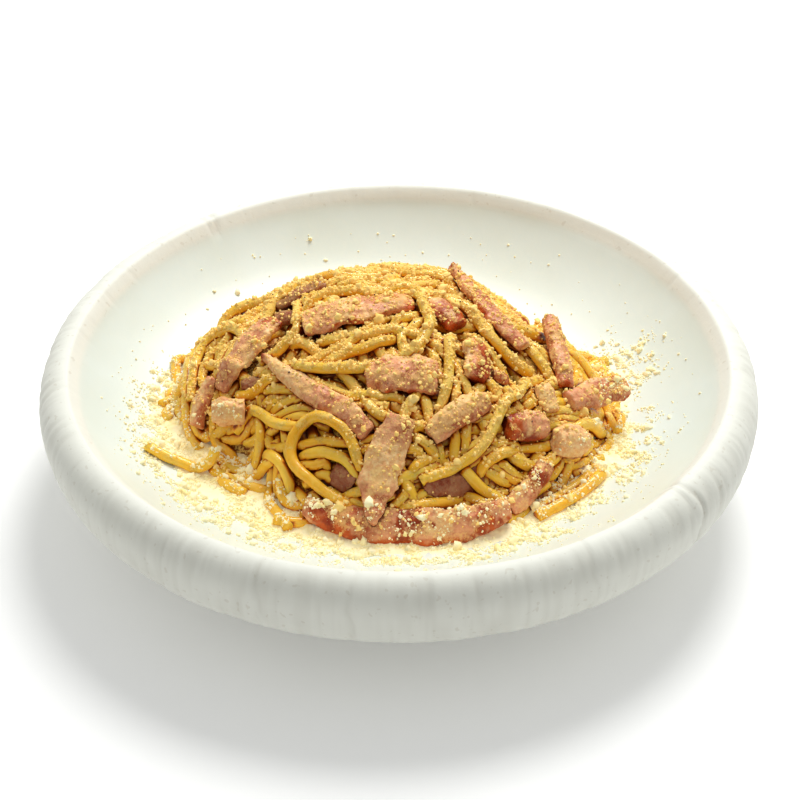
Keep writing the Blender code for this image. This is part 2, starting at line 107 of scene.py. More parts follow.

# Strands laid over the loose ones: x, y, height over the heap's outline
LAID_STRANDS = (
    # the wide loop over the top
    ((-49, -14, -3), (-42, -15, 0.5), (-34, -18, 2.0), (-23, -23, 2.8), (-12, -26, 3.0),
     (-3, -25, 3.2), (4, -22, 3.4), (8, -15, 3.6), (10, -7, 3.6), (8, 0, 3.4), (6, 6, 3.0),
     (0, 9, 1.5), (-6, 12, -2)),
    # a second one inside it
    ((-31, -17, -2), (-24, -20, 0.6), (-17, -18, 1.0), (-9, -17, 1.2), (-2, -14, 0.6),
     (3, -9, -1.5)),
    # the free loop at the front left
    ((-12, -49, 0), (-12, -52, 1.5), (-14, -48, 3.5), (-18, -43, 4.5), (-23, -39, 4.5),
     (-28, -37, 4), (-32, -38, 3.5), (-34, -41, 3.2), (-33, -45, 3.0), (-29, -50, 3.2),
     (-24, -54, 3.6), (-18, -58, 4.0), (-13, -62, 4.0), (-10, -66, 2.0)),
    ((-35, -40, -2), (-37, -45, 0.6), (-35, -50, 1.2), (-31, -53, 1.0), (-26, -54, 0),
     (-21, -52, -3)),
    ((-33, -42, -3), (-29, -44, 0), (-23, -46, 0.6), (-17, -49, 0.4), (-13, -53, -1)),
    ((-30, -49, -2), (-23, -49, -0.6), (-17, -52, -0.6), (-13, -57, -1)),
    # the lower left
    ((-41, -37, -1), (-42, -43, 1.0), (-42, -48, 1.4), (-40, -53, 1.6), (-37, -58, 1.8),
     (-35, -61, 1.5)),
    ((-38, -58, 0.2), (-33, -60, 1.5), (-28, -59, 1.8), (-25, -56, 1.2), (-26, -52, -1)),
    ((-58, -26, 0), (-60, -31, 1.2), (-57, -36, 1.5), (-51, -40, 1.4), (-45, -43, 1.2),
     (-41, -46, -1)),
    ((-62, -27, -0.5), (-55, -33, 1.0), (-49, -35, 1.4), (-44.5, -33, 1.4), (-43, -28, 1.0),
     (-45, -22, 0)),
    ((-53, -21, -1), (-48, -21, 1.2), (-43, -25, 1.6), (-39, -30, 1.4), (-34, -34, 1.0),
     (-30, -35, -1)),
    ((-44, -33, -1), (-41, -37, 1.2), (-38, -41, 1.2), (-36, -46, 0.6), (-36, -51, -1)),
    ((-52, -38, -2), (-50, -37, 0.8), (-46, -36, 1.4), (-41, -38, 1.0), (-37, -40, -1)),
    ((-52, -15, 0), (-47, -17, 0.8), (-42, -17, 1.0), (-38, -16, -1)),
    ((-58, -30, 0), (-57, -36, 0.8), (-54, -41, 0.2), (-50, -45, -1.5)),
    # the left shoulder and the small arch
    ((-66, -22, -1), (-69, -13, 1.0), (-70, -3, 2.5), (-70, 8, 3.5), (-69, 16, 4.0),
     (-65, 20, 3.5), (-59, 18, 2.0),
     (-52, 15, 1.0), (-46, 14, -1)),
    ((-66, -8, 0), (-67, 2, 2.0), (-66, 11, 2.6), (-61, 14, 2.4), (-55, 11, 1.6), (-52, 5, 0.6),
     (-53, -1, -1)),
    ((-61, 18, 0), (-61, 23, 3.5), (-59, 27, 6.5), (-54, 29, 6.5), (-48, 29, 3.5), (-42, 27, 1)),
    # along the top
    ((-47, 10, -1), (-42, 20, 1.4), (-33, 26, 1.6), (-23, 29, 1.6), (-13, 28, 1.6),
     (-3, 30, 1.4), (8, 27, 1.2),
     (17, 24, 0.4), (24, 19, -2)),
    ((-36, 26, -2), (-34, 17, 1.2), (-33, 9, 2.2), (-33, 2, 2.4), (-34, -5, 2.0), (-39, -9, 1.4),
     (-46, -10, 0)),
    ((-33, 7, -1), (-28, 11, 1.6), (-21, 13, 2.0), (-13, 12, 1.6), (-7, 9, 1.2), (0, 13, 1.2),
     (9, 14, 0)),
    # from the top to the right
    ((6, 12, -1), (13, 8, 1.2), (21, 4, 1.6), (26, -1, 1.8), (31, -7, 1.8), (37, -11, 1.2),
     (44, -13, 0)),
    ((17, -8, -2), (15.5, -15, 1.2), (16, -20, 1.8), (15.5, -27, 1.8), (14.5, -33, 1.2),
     (12, -39, -1)),
    ((46, -14, -1), (41, -20, 1.6), (38, -26, 1.8), (34, -30, 1.8), (31, -35, 1.6), (27, -43, 1.8),
     (20, -48, 2.0), (12, -52, 2.0), (6, -55, 1.6)),
    ((36, -40, -1), (31, -44, 1.0), (26, -48, 1.2), (21, -52, 1.2), (14, -57, 1.2),
     (5, -60, 1.0), (-3, -61, 0)),
    ((31, -47, -2), (25, -52, -0.4), (17, -57, 0), (8, -60, 0.4), (0, -62, 0.4)),
    ((65, -14, -1), (59, -22, 0.8), (54, -30, 1.2), (49, -37, 1.4), (43, -42, 1.6),
     (38, -43, 1.6), (34, -41, 0)),
    ((18, -52, -1), (24, -54, 1.0), (30, -55, 1.2), (36, -53.5, 1.0)),
    ((20, -48, -1), (26, -51, 1.0), (32, -53, 1.0), (37, -51, 0)),
    ((22, -57, -1), (28, -58, 0.6), (34, -56, 0.8), (40, -52, 0)),
    ((46, -42, 0), (42, -47, 1.0), (39, -53, 1.0), (33, -58, 0.4)),
    ((42, -54, -0.5), (49, -49, 0.4), (56, -43, 0.3), (63, -36, -1)),
    ((44, -57, -1), (51, -52, 0), (59, -45, 0), (66, -36, -1.5)),
    ((54, 10, -1), (60, 8, 1.0), (65, 3, 0.8), (69, -4, 0.4), (71, -12, -1)),
    ((47, 22, -1), (56, 18, 1.0), (63, 12, 0.8), (69, 6, 0)),
)
# One strand has slid off the heap and lies on the dish: x, y, height over the dish
STRAY_STRAND = ((-83, -26, 0.4), (-77, -29, 0.9), (-71, -31, 1.1), (-66, -33, 2.0),
                (-62, -33, 5), (-60, -31, 9))

# How closely a surface is hemmed in is felt out this far, in these directions from its surface
SHELTER_REACH = 7.0
SHELTER_WAYS = ((0.0, 0.0, 0.9), (0.7, 0.0, 0.4), (-0.7, 0.0, 0.4), (0.0, 0.7, 0.4), (0.0, -0.7, 0.4))

# Bacon: bands of fat and of crisp crust over each strip, and how much cheese clings to it.
# A band is the direction across which it is measured, its centre and its reach, where
# along runs from -1 at the left end to 1 at the right one, across from the near edge to the far one.
VOXEL = 0.5
PLAIN_LOOK = ((("across", 0.9, 0.5),), (("along", 1.1, 0.3),), 0.5)
DRAWN_OUT = {"bacon_left_long": 1.6}     # these reach further left than their solids
BACON_LOOKS = {
    "bacon_wide_top": ((("across", 1.0, 0.35), ("along", -0.15, 0.10)),
                       (("along", 1.05, 0.35), ("across", -1.05, 0.22), ("along", -1.1, 0.2)), 0.50),
    "bacon_wide_middle": ((("across", 1.0, 0.3),), (("across", -1.1, 0.25),), 0.45),
    "bacon_fatty_long": ((("along", -0.75, 0.75), ("across", 1.0, 0.3)),
                         (("across", -1.05, 0.3), ("along", -1.1, 0.25)), 0.35),
    "bacon_left_long": ((("across", -0.9, 0.3),), (("along", 1.1, 0.4),), 0.45),
    "bacon_left_edge": ((("across", 0.9, 0.25),), (), 0.25),
    "bacon_left_chunk": ((("along", 0.0, 1.6),), (("across", 1.2, 0.3),), 0.40),
    "bacon_crisp_top": ((("along", -1.0, 0.4),), (("along", 0.6, 1.0),), 0.25),
    "bacon_crisp_upright": ((("across", 0.9, 0.4),), (("across", -0.3, 1.0),), 0.30),
    "bacon_raised_strip": ((("across", 0.8, 0.3),),
                           (("along", -1.1, 0.25), ("across", -1.1, 0.2)), 0.30),
    "bacon_right_upright": ((("across", -0.9, 0.4),), (("along", 1.1, 0.2),), 0.40),
    "bacon_cheesy": ((("across", 0.8, 0.6),), (("across", -1.1, 0.2),), 0.75),
    "bacon_orange_chunk": ((("along", 0.0, 1.8),), (("across", -1.2, 0.4),), 0.30),
    "bacon_orange_lump": ((("along", 0.0, 1.8),), (), 0.60),
    "bacon_crisp_chunk": ((("across", 1.0, 0.3), ("along", 0.0, 0.15)),
                          (("along", -0.9, 0.8), ("across", -1.0, 0.3)), 0.30),
    "bacon_overhang": ((("across", 0.9, 0.3),), (("along", 1.1, 0.3), ("across", -1.1, 0.3)), 0.35),
    "bacon_front_strip": ((("across", 1.0, 0.35), ("along", 0.3, 0.12)),
                          (("along", -0.7, 0.3), ("along", 0.0, 0.12), ("across", -1.0, 0.4),
                           ("along", 0.75, 0.12)), 0.45),
    "bacon_hanging": ((("along", 0.0, 0.5),), (), 0.40),
    "bacon_right_foot": ((("across", 0.6, 0.5),), (("along", 0.4, 0.3),), 0.30),
    "bacon_front_recess": ((("across", 1.0, 0.2),), (), 0.05),
    "bacon_behind_loop": ((), (), 0.1),
}
# These lie deep in hollows between the strands, and SUNK_SHADE is the least painted shade they get
SUNK_BACON = ("bacon_front_recess", "bacon_behind_loop", "bacon_left_hollow", "bacon_left_pocket",
              "bacon_under_strands")
SUNK_SHADE = 0.5

# Grated cheese on the dish: direction in degrees and how far from the middle it lies
DRIFT_START = 146.0
DRIFT_REACH = ((146, 70), (156, 74), (165, 82), (180, 86), (200, 87), (222, 86), (240, 81), (270, 80),
               (290, 81), (304, 83), (318, 79), (332, 83), (348, 84), (360, 80), (374, 86), (386, 80),
               (398, 74), (410, 68))
BARE_START = 55.0              # from this direction to DRIFT_START the dish is nearly bare
STRAY_SHARE = 0.004            # share of crumbs that stay where hardly any lie
SIDE_PATCH = (76, 24)          # a loose patch of crumbs on the dish at the right


# ---------------------------------------------------------------- meshes

def finish_piece(mesh, name, material, stands_for=()):
    """A finished mesh becomes a named piece that rides on the dish."""
    mesh.shade_smooth()
    mesh.materials.clear()
    mesh.materials.append(material)
    piece = bpy.data.objects.new(name, mesh)
    bpy.context.scene.collection.objects.link(piece)
    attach(piece, "root")
    if stands_for:
        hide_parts(*stands_for)
    return piece


def mesh_of(bm, name):
    mesh = bpy.data.meshes.new(name)
    bm.to_mesh(mesh)
    bm.free()
    return mesh


def places_of(mesh):
    places = np.empty(len(mesh.vertices) * 3, np.float32)
    mesh.vertices.foreach_get("co", places)
    return places.reshape(-1, 3).astype(float)


def move_to(mesh, places):
    mesh.vertices.foreach_set("co", places.astype(np.float32).ravel())
    mesh.update()


def facings_of(mesh):
    facings = np.empty(len(mesh.vertices) * 3, np.float32)
    mesh.vertex_normals.foreach_get("vector", facings)
    return facings.reshape(-1, 3).astype(float)


def note(mesh, name, values):
    """Keep a number for each vertex, which a material reads by this name."""
    attribute = mesh.attributes.new(name, "FLOAT", "POINT")
    attribute.data.foreach_set("value", np.asarray(values, np.float32))


def ripple(places, size, seed=0.0):
    """Smooth noise from -1 to 1 with lumps of this size, in the places' unit."""
    shift = Vector((seed, seed * 1.7, -seed))
    return np.array([noise.noise(Vector(p) / size + shift) for p in places])


def pebbles(places, size, seed=0.0):
    """Rounded bumps of this size, 1 at their tops and 0 in the seams between them."""
    shift = Vector((seed, -seed, seed * 0.6))
    return np.array([1.0 - min(1.0, noise.voronoi(Vector(p) / size + shift)[0][0] * 1.4)
                     for p in places])


def with_modifiers(mesh, name, make_modifiers):
    """The mesh after modifiers, which make_modifiers adds to a passing object."""
    passing = bpy.data.objects.new(name, mesh)
    bpy.context.scene.collection.objects.link(passing)
    make_modifiers(passing)
    depsgraph = bpy.context.evaluated_depsgraph_get()
    made = bpy.data.meshes.new_from_object(passing.evaluated_get(depsgraph))
    bpy.data.objects.remove(passing)
    return made


def smooth_step(value, start, end):
    """0 before the start, 1 past the end and an eased rise between."""
    share = np.clip((value - start) / (end - start), 0.0, 1.0)
    return share * share * (3 - 2 * share)


# ---------------------------------------------------------------- materials

def colour(red, green, blue):
    """A screen colour of 0 to 255 as the linear values that shaders use."""
    return tuple((c / 255.0 / 12.92) if c < 10.3 else ((c / 255.0 + 0.055) / 1.055) ** 2.4
                 for c in (red, green, blue)) + (1.0,)


def add(tree, kind, values=(), **settings):
    """A new node with its settings, its inputs set to values or linked to sockets."""
    node = tree.nodes.new(kind)
    for name, value in settings.items():
        setattr(node, name, value)
    for name, value in dict(values).items():
        if isinstance(value, bpy.types.NodeSocket):
            tree.links.new(value, node.inputs[name])
        else:
            node.inputs[name].default_value = value
    return node


def new_material(name, **sockets):
    """A material whose shader has these sockets set, spaces written as underscores."""
    material = bpy.data.materials.new(name)
    material.use_nodes = True
    shader = material.node_tree.nodes["Principled BSDF"]
    for socket, value in sockets.items():
        shader.inputs[socket.replace("_", " ")].default_value = value
    return material, material.node_tree, shader


def blend_colours(tree, share, first, second):
    mix = add(tree, "ShaderNodeMix", {0: share, 6: first, 7: second}, data_type="RGBA",
              clamp_factor=True)
    return mix.outputs[2]


def calculate(tree, operation, first, second=0.0):
    return add(tree, "ShaderNodeMath", {0: first, 1: second}, operation=operation).outputs[0]


def remap(tree, value, low, high, to_low=0.0, to_high=1.0):
    return add(tree, "ShaderNodeMapRange",
               {"Value": value, "From Min": low, "From Max": high,
                "To Min": to_low, "To Max": to_high}, interpolation_type="SMOOTHSTEP").outputs[0]


def read_number(tree, name):
    return add(tree, "ShaderNodeAttribute", attribute_name=name).outputs["Fac"]


def new_group(name, inputs, output):
    """A shader node group with number inputs and one number output."""
    group = bpy.data.node_groups.new(name, "ShaderNodeTree")
    for label, value in inputs:
        socket = group.interface.new_socket(label, in_out="INPUT", socket_type="NodeSocketFloat")
        socket.default_value = value
    group.interface.new_socket(output, in_out="OUTPUT", socket_type="NodeSocketFloat")
    return group, group.nodes.new("NodeGroupInput"), group.nodes.new("NodeGroupOutput")


def make_mottle():
    """Patches: noise of a size, drawn apart between a low and a high edge."""
    group, given, out = new_group("mottle", (("Scale", 100.0), ("Low", 0.4), ("High", 0.6),
                                             ("Detail", 3.0)), "Mask")
    place = add(group, "ShaderNodeTexCoord").outputs["Object"]
    patches = add(group, "ShaderNodeTexNoise", {"Vector": place, "Scale": given.outputs["Scale"],
                                                "Detail": given.outputs["Detail"],
                                                "Roughness": 0.6}).outputs["Fac"]
    spread = add(group, "ShaderNodeMapRange",
                 {"Value": patches, "From Min": given.outputs["Low"],
                  "From Max": given.outputs["High"]}, interpolation_type="SMOOTHSTEP")
    group.links.new(spread.outputs[0], out.inputs["Mask"])
    return group


def make_dusting():
    """Fine cheese that has settled on what faces up, thicker in some patches."""
    group, given, out = new_group("dusting", (("Amount", 0.5), ("Grain", 900.0)), "Mask")
    place = add(group, "ShaderNodeTexCoord").outputs["Object"]
    facing = add(group, "ShaderNodeNewGeometry").outputs["Normal"]
    upward = add(group, "ShaderNodeSeparateXYZ", {"Vector": facing}).outputs["Z"]
    drifts = add(group, "ShaderNodeTexNoise", {"Vector": place, "Scale": 190.0,
                                               "Detail": 2.0}).outputs["Fac"]
    grains = add(group, "ShaderNodeTexNoise", {"Vector": place, "Scale": given.outputs["Grain"],
                                               "Detail": 3.0, "Roughness": 0.7}).outputs["Fac"]
    lying = remap(group, upward, -0.15, 0.85)
    level = calculate(group, "ADD", calculate(group, "MULTIPLY", drifts, 1.2),
                      calculate(group, "MULTIPLY", grains, 1.0))
    wanted = calculate(group, "MULTIPLY", lying, given.outputs["Amount"])
    level = calculate(group, "ADD", level, wanted)
    mask = remap(group, level, 1.26, 1.42)
    group.links.new(mask, out.inputs["Mask"])
    return group


def make_graininess():
    """Height of fine crumbs and pits for a bump."""
    group, given, out = new_group("graininess", (("Scale", 900.0), ("Coarse", 0.4)), "Height")
    place = add(group, "ShaderNodeTexCoord").outputs["Object"]
    fine = add(group, "ShaderNodeTexNoise", {"Vector": place, "Scale": given.outputs["Scale"],
                                             "Detail": 4.0, "Roughness": 0.65}).outputs["Fac"]
    wide = calculate(group, "MULTIPLY", given.outputs["Scale"], 0.3)
    coarse = add(group, "ShaderNodeTexNoise", {"Vector": place, "Scale": wide,
                                               "Detail": 2.0}).outputs["Fac"]
    coarse = calculate(group, "MULTIPLY", coarse, given.outputs["Coarse"])
    group.links.new(calculate(group, "ADD", fine, coarse), out.inputs["Height"])
    return group


MOTTLE = make_mottle()
DUSTING = make_dusting()
GRAININESS = make_graininess()


def use(tree, group, **values):
    """Place a node group in a material and give its only output."""
    return add(tree, "ShaderNodeGroup", values, node_tree=group).outputs[0]


def bump(tree, shader, height, strength, distance):
    """Fine relief for the shader, distance in metres."""
    node = add(tree, "ShaderNodeBump", {"Height": height, "Strength": strength,
                                        "Distance": distance})
    tree.links.new(node.outputs["Normal"], shader.inputs["Normal"])


CHEESE_CREAM = colour(254, 214, 116)


def glazed_stoneware():
    """Smooth white glaze in the dish, matt dragged clay on the rim and outside, with painted shade in
    its grooves.
    """
    material, tree, shader = new_material("glazed_stoneware", Coat_Roughness=0.35)
    bare = read_number(tree, "bare")
    cloud = use(tree, MOTTLE, Scale=22.0, Low=0.35, High=0.65, Detail=3.0)
    glaze = blend_colours(tree, cloud, colour(226, 234, 227), colour(222, 229, 219))
    # The clay is painted darker along the drag marks, by their depth: painted shade in the grooves.
    streak = read_number(tree, "groove")
    clay = blend_colours(tree, streak, colour(233, 233, 223), colour(210, 208, 196))
    freckle = use(tree, MOTTLE, Scale=420.0, Low=0.66, High=0.72, Detail=1.0)
    clay = blend_colours(tree, calculate(tree, "MULTIPLY", freckle, 0.25), clay, colour(190, 180, 158))
    tree.links.new(blend_colours(tree, bare, glaze, clay), shader.inputs["Base Color"])
    tree.links.new(remap(tree, bare, 0.0, 1.0, 0.34, 0.62), shader.inputs["Roughness"])
    tree.links.new(remap(tree, bare, 0.0, 1.0, 0.35, 0.0), shader.inputs["Coat Weight"])
    pits = use(tree, GRAININESS, Scale=500.0, Coarse=0.8)
    bump(tree, shader, calculate(tree, "MULTIPLY", pits, bare), 0.35, 0.0002)
    return material


def sauced_pasta():
    """Yolk-yellow pasta under a cream sauce, dusted with cheese on top, with painted shade where it is
    hemmed in.
    """
    material, tree, shader = new_material(
        "sauced_pasta", Subsurface_Weight=0.28, Subsurface_Scale=0.003,
        Subsurface_Radius=(1.0, 0.65, 0.25), Specular_IOR_Level=0.2, Coat_Weight=0.5,
        Coat_Roughness=0.1)
    tone = read_number(tree, "tone")
    deep = read_number(tree, "deep")
    pasta = blend_colours(tree, tone, colour(249, 178, 24), colour(254, 206, 66))
    sauce = use(tree, MOTTLE, Scale=260.0, Low=0.42, High=0.62, Detail=4.0)
    pasta = blend_colours(tree, calculate(tree, "MULTIPLY", sauce, 0.45), pasta, colour(254, 212, 92))
    amber = use(tree, MOTTLE, Scale=95.0, Low=0.55, High=0.75, Detail=2.0)
    pasta = blend_colours(tree, calculate(tree, "MULTIPLY", amber, 0.35), pasta, colour(224, 136, 10))
    dust = use(tree, DUSTING, Amount=read_number(tree, "dusty"), Grain=1500.0)
    # Cheese thins where the strand is hemmed in (deep). There its colour turns amber and then dark
    # red-brown as painted shade.
    dust = calculate(tree, "MULTIPLY", dust, remap(tree, deep, 0.1, 0.6, 0.62, 0.0))
    pasta = blend_colours(tree, dust, pasta, CHEESE_CREAM)
    pasta = blend_colours(tree, remap(tree, deep, 0.02, 0.55, 0.0, 0.9), pasta, colour(218, 114, 3))
    shaded = remap(tree, deep, 0.38, 0.95, 0.0, 0.92)
    tree.links.new(blend_colours(tree, shaded, pasta, colour(112, 32, 1)), shader.inputs["Base Color"])
    tree.links.new(remap(tree, dust, 0.0, 0.6, 0.40, 0.65), shader.inputs["Roughness"])
    grain = use(tree, GRAININESS, Scale=1700.0, Coarse=1.0)
    height = calculate(tree, "MULTIPLY", grain, remap(tree, dust, 0.0, 0.6, 0.4, 1.4))
    bump(tree, shader, height, 0.6, 0.0005)
    return material


def sauced_core():
    """Sauce and broken pasta deep between the strands, in colours darkened as painted shade, darkest
    in the gaps.
    """
    material, tree, shader = new_material("sauced_core", Roughness=0.45, Specular_IOR_Level=0.2)
    patch = use(tree, MOTTLE, Scale=180.0, Low=0.4, High=0.6, Detail=4.0)
    # Sauce colours darkened to stand in for the shade deep in the heap, and darker still where the
    # core dips into the gaps: painted shade.
    shade = blend_colours(tree, patch, colour(132, 58, 4), colour(190, 112, 16))
    deep = read_number(tree, "deep")
    shade = blend_colours(tree, deep, shade, colour(92, 28, 6))
    dust = use(tree, DUSTING, Amount=0.22, Grain=1400.0)
    lifted = calculate(tree, "MULTIPLY", dust, calculate(tree, "SUBTRACT", 1.0, deep))
    tree.links.new(blend_colours(tree, lifted, shade, CHEESE_CREAM), shader.inputs["Base Color"])
    bump(tree, shader, use(tree, GRAININESS, Scale=800.0, Coarse=1.0), 0.6, 0.0006)
    return material


def fried_bacon():
    """Pink lean, pale fat and red-brown crust, with cheese and sauce clinging to it, and painted shade
    where it is hemmed in.
    """
    material, tree, shader = new_material(
        "fried_bacon", Subsurface_Weight=0.12, Subsurface_Scale=0.003,
        Subsurface_Radius=(1.0, 0.35, 0.2), Specular_IOR_Level=0.15,
        Coat_Weight=0.2, Coat_Roughness=0.2)
    fibre = use(tree, MOTTLE, Scale=800.0, Low=0.35, High=0.65, Detail=4.0)
    patch = use(tree, MOTTLE, Scale=130.0, Low=0.40, High=0.62, Detail=3.0)
    lean = blend_colours(tree, patch, colour(184, 90, 52), colour(232, 154, 110))
    lean = blend_colours(tree, calculate(tree, "MULTIPLY", fibre, 0.45), lean, colour(248, 194, 142))
    fat = blend_colours(tree, fibre, colour(252, 208, 148), colour(238, 172, 112))
    meat = blend_colours(tree, read_number(tree, "fat"), lean, fat)
    crust = blend_colours(tree, patch, colour(150, 50, 16), colour(206, 92, 36))
    meat = blend_colours(tree, read_number(tree, "crisp"), meat, crust)
    dust = use(tree, DUSTING, Amount=read_number(tree, "dusty"), Grain=1500.0)
    meat = blend_colours(tree, calculate(tree, "MULTIPLY", dust, 0.55), meat, colour(252, 208, 130))
    # Painted shade: dark red-brown where the strip is hemmed in by strands (deep).
    shaded = remap(tree, read_number(tree, "deep"), 0.15, 0.8, 0.0, 0.92)
    tree.links.new(blend_colours(tree, shaded, meat, colour(92, 26, 10)), shader.inputs["Base Color"])
    tree.links.new(remap(tree, dust, 0.0, 1.0, 0.34, 0.75), shader.inputs["Roughness"])
    grain = use(tree, GRAININESS, Scale=1500.0, Coarse=1.2)
    bump(tree, shader, grain, 0.6, 0.0006)
    return material


def grated_cheese(name, dry, warm):
    """Pale crumbs, some warmer where the sauce has soaked in, glowing faintly in their dry colour as
    painted light.
    """
    # The faint glow is painted light that lifts the crumbs' shaded sides.
    material, tree, shader = new_material(name, Roughness=0.75, Specular_IOR_Level=0.2,
                                          Emission_Color=dry, Emission_Strength=0.10)
    tone = read_number(tree, "tone")
    patch = use(tree, MOTTLE, Scale=160.0, Low=0.4, High=0.65, Detail=3.0)
    share = calculate(tree, "MULTIPLY", tone, patch)
    tree.links.new(blend_colours(tree, share, dry, warm), shader.inputs["Base Color"])
    bump(tree, shader, use(tree, GRAININESS, Scale=1600.0, Coarse=0.6), 0.25, 0.0002)
    return material


def black_pepper():
    """Cracked pepper, dark with paler bits."""
    material, tree, shader = new_material("black_pepper", Roughness=0.6)
    patch = use(tree, MOTTLE, Scale=2600.0, Low=0.4, High=0.6, Detail=2.0)
    tree.links.new(blend_colours(tree, patch, colour(38, 26, 20), colour(92, 66, 46)),
                   shader.inputs["Base Color"])
    return material


# ---------------------------------------------------------------- camera, floor, lights

def make_camera():
    """A long lens, above the front of the dish and tilted down at it."""
    camera_data = bpy.data.cameras.new("camera")
    camera_data.sensor_width = 36.0
    camera_data.lens = 114.75
    camera_data.shift_x = 0.00125
    camera_data.shift_y = -0.0525
    camera_data.clip_start = 0.01
    camera = bpy.data.objects.new("camera", camera_data)
    camera.location = (0.0, -0.6937, 0.5412)
    camera.rotation_euler = (math.radians(54.7), 0.0, 0.0)
    bpy.context.scene.collection.objects.link(camera)
    bpy.context.scene.camera = camera


def make_floor():
    """A plain pale floor, lifted a little so that it burns out to white away from the bowl."""
    bm = bmesh.new()
    bmesh.ops.create_grid(bm, x_segments=1, y_segments=1, size=3.0)
    floor = bpy.data.objects.new("floor", mesh_of(bm, "floor"))
    material, tree, shader = new_material("floor", Roughness=0.9)
    shader.inputs["Base Color"].default_value = (0.93, 0.93, 0.93, 1.0)
    shader.inputs["Emission Color"].default_value = (1.0, 1.0, 1.0, 1.0)
    shader.inputs["Emission Strength"].default_value = 0.13
    floor.data.materials.append(material)
    bpy.context.scene.collection.objects.link(floor)


def make_sky():
    """Soft light that fades from overhead, and a little from behind, down to the horizon."""
    world = bpy.data.worlds.new("studio")
    world.use_nodes = True
    tree = world.node_tree
    sky = tree.nodes["Background"]
    sky.inputs["Color"].default_value = (0.985, 1.0, 0.985, 1.0)
    way = add(tree, "ShaderNodeTexCoord").outputs["Generated"]
    parts = add(tree, "ShaderNodeSeparateXYZ", {"Vector": way})
    above = calculate(tree, "MULTIPLY", parts.outputs["Z"], 0.8)
    behind = calculate(tree, "MULTIPLY", parts.outputs["Y"], 0.15)
    height = calculate(tree, "ADD", above, behind)
    tree.links.new(remap(tree, height, -0.08, 0.6, 0.04, 0.65), sky.inputs["Strength"])
    bpy.context.scene.world = world
    bpy.context.scene.view_settings.view_transform = "Standard"


def add_light(name, place, size, power, tint):
    """A round soft light aimed at the dish."""
    light_data = bpy.data.lights.new(name, "AREA")
    light_data.shape = "DISK"
    light_data.size = size
    light_data.energy = power
    light_data.color = tint
    light = bpy.data.objects.new(name, light_data)
    light.location = place
    aim = Vector((0.0, 0.0, 0.03)) - Vector(place)
    light.rotation_euler = aim.to_track_quat("-Z", "Y").to_euler()
    bpy.context.scene.collection.objects.link(light)


# ---------------------------------------------------------------- bowl

def dish_height(radius):
    """Height of the inside of the bowl at a distance from its axis."""
    climb = np.clip((radius - FLOOR_RADIUS) / (LIP_RADIUS - FLOOR_RADIUS), 0.0, None)
    return DISH_FLOOR + WALL_RISE * climb ** WALL_CURVE


def quarter(centre, radii, start, end, steps):
    """Points on an arc of an ellipse, angles in degrees from the outward direction."""
    points = []
    for step in range(steps + 1):
        turn = math.radians(start + (end - start) * step / steps)
        points.append((centre[0] + radii[0] * math.cos(turn), centre[1] + radii[1] * math.sin(turn)))
    return points


def bowl_profile():
    """Points (radius, height) from the dish's centre over the rim to the foot."""
    inside = [(r, float(dish_height(r))) for r in (0, 12, 30, 45, 56, 62, 66, 70, 74, 78, 82, 86,
                                                   90, 93, 96, 98, 100, 102, 104)]
    lip_z = RIM_TOP - LIP_DROP
    lip = [(105.6, lip_z - 1.6), (107.0, lip_z), (108.3, lip_z + 1.5), (109.3, lip_z + 2.5)]
    crown = quarter((CROWN_RADIUS, lip_z), (CROWN_RADIUS - LIP_RADIUS, LIP_DROP), 100, 90, 2)
    bulge = quarter((CROWN_RADIUS, RIM_TOP - BULGE_DROP), (RIM_RADIUS - CROWN_RADIUS, BULGE_DROP),
                    90, 0, 14)[1:]
    under = [(119.8, 36.0), (119.4, 33.0), (118.2, 30.0), (116.6, 27.5), (114.0, 25.1), (111.0, 23.0),
             (106.5, 20.4), (101.0, 18.0), (94.0, 15.4), (86.0, 13.0), (78.0, 11.1), (71.0, 9.6),
             (66.0, 8.6), (FOOT_OUTER + 1.6, FOOT_HEIGHT)]
    foot = [(FOOT_OUTER + 0.6, FOOT_HEIGHT - 0.8), (FOOT_OUTER + 0.3, FOOT_HEIGHT - 2.4),
            (FOOT_OUTER, 1.2), (FOOT_OUTER - 0.35, 0.35), (FOOT_OUTER - 1.2, 0.0),
            (FOOT_INNER + 1.2, 0.0), (FOOT_INNER + 0.35, 0.35), (FOOT_INNER, 1.2),
            (FOOT_INNER - 1.0, RECESS_HEIGHT - 3.0), (FOOT_INNER - 2.0, RECESS_HEIGHT - 1.4),
            (FOOT_INNER - 4.0, RECESS_HEIGHT - 0.4), (26.0, RECESS_HEIGHT + 0.4),
            (0.0, RECESS_HEIGHT + 0.6)]
    return inside + lip + crown + bulge + under + foot


def rim_grooves(places, radius, height, rimmed):
    """Depth of the drag marks: fine streaks drawn out down the rim, and a few notches."""
    around = places * (1.0, 1.0, 0.0)
    around /= np.maximum(radius, 1e-6)[:, None]
    streaks = np.zeros(len(places))
    on_rim = np.nonzero(rimmed > 0.01)[0]
    for width, deep, seed in STREAKS:
        rows = around[on_rim] * (RIM_RADIUS / width)
        rows[:, 2] = (height - radius)[on_rim] / STREAK_LENGTH
        streaks[on_rim] += deep * smooth_step(ripple(rows, 1.0, seed), 0.0, 0.6)
    notches = np.zeros(len(places))
    turn = np.degrees(np.arctan2(places[:, 1], places[:, 0])) % 360.0
    for angle, depth, wide in NOTCHES:
        bent = 1.2 * np.sin(height * 0.35 + angle)
        off = np.radians(turn - angle) * RIM_RADIUS + bent
        notches += depth * np.exp(-(off / wide) ** 2)
    steep = smooth_step(radius, CROWN_RADIUS - 1.0, CROWN_RADIUS + 6.0)
    return streaks * (0.25 + 0.75 * steep) + notches * 0.55


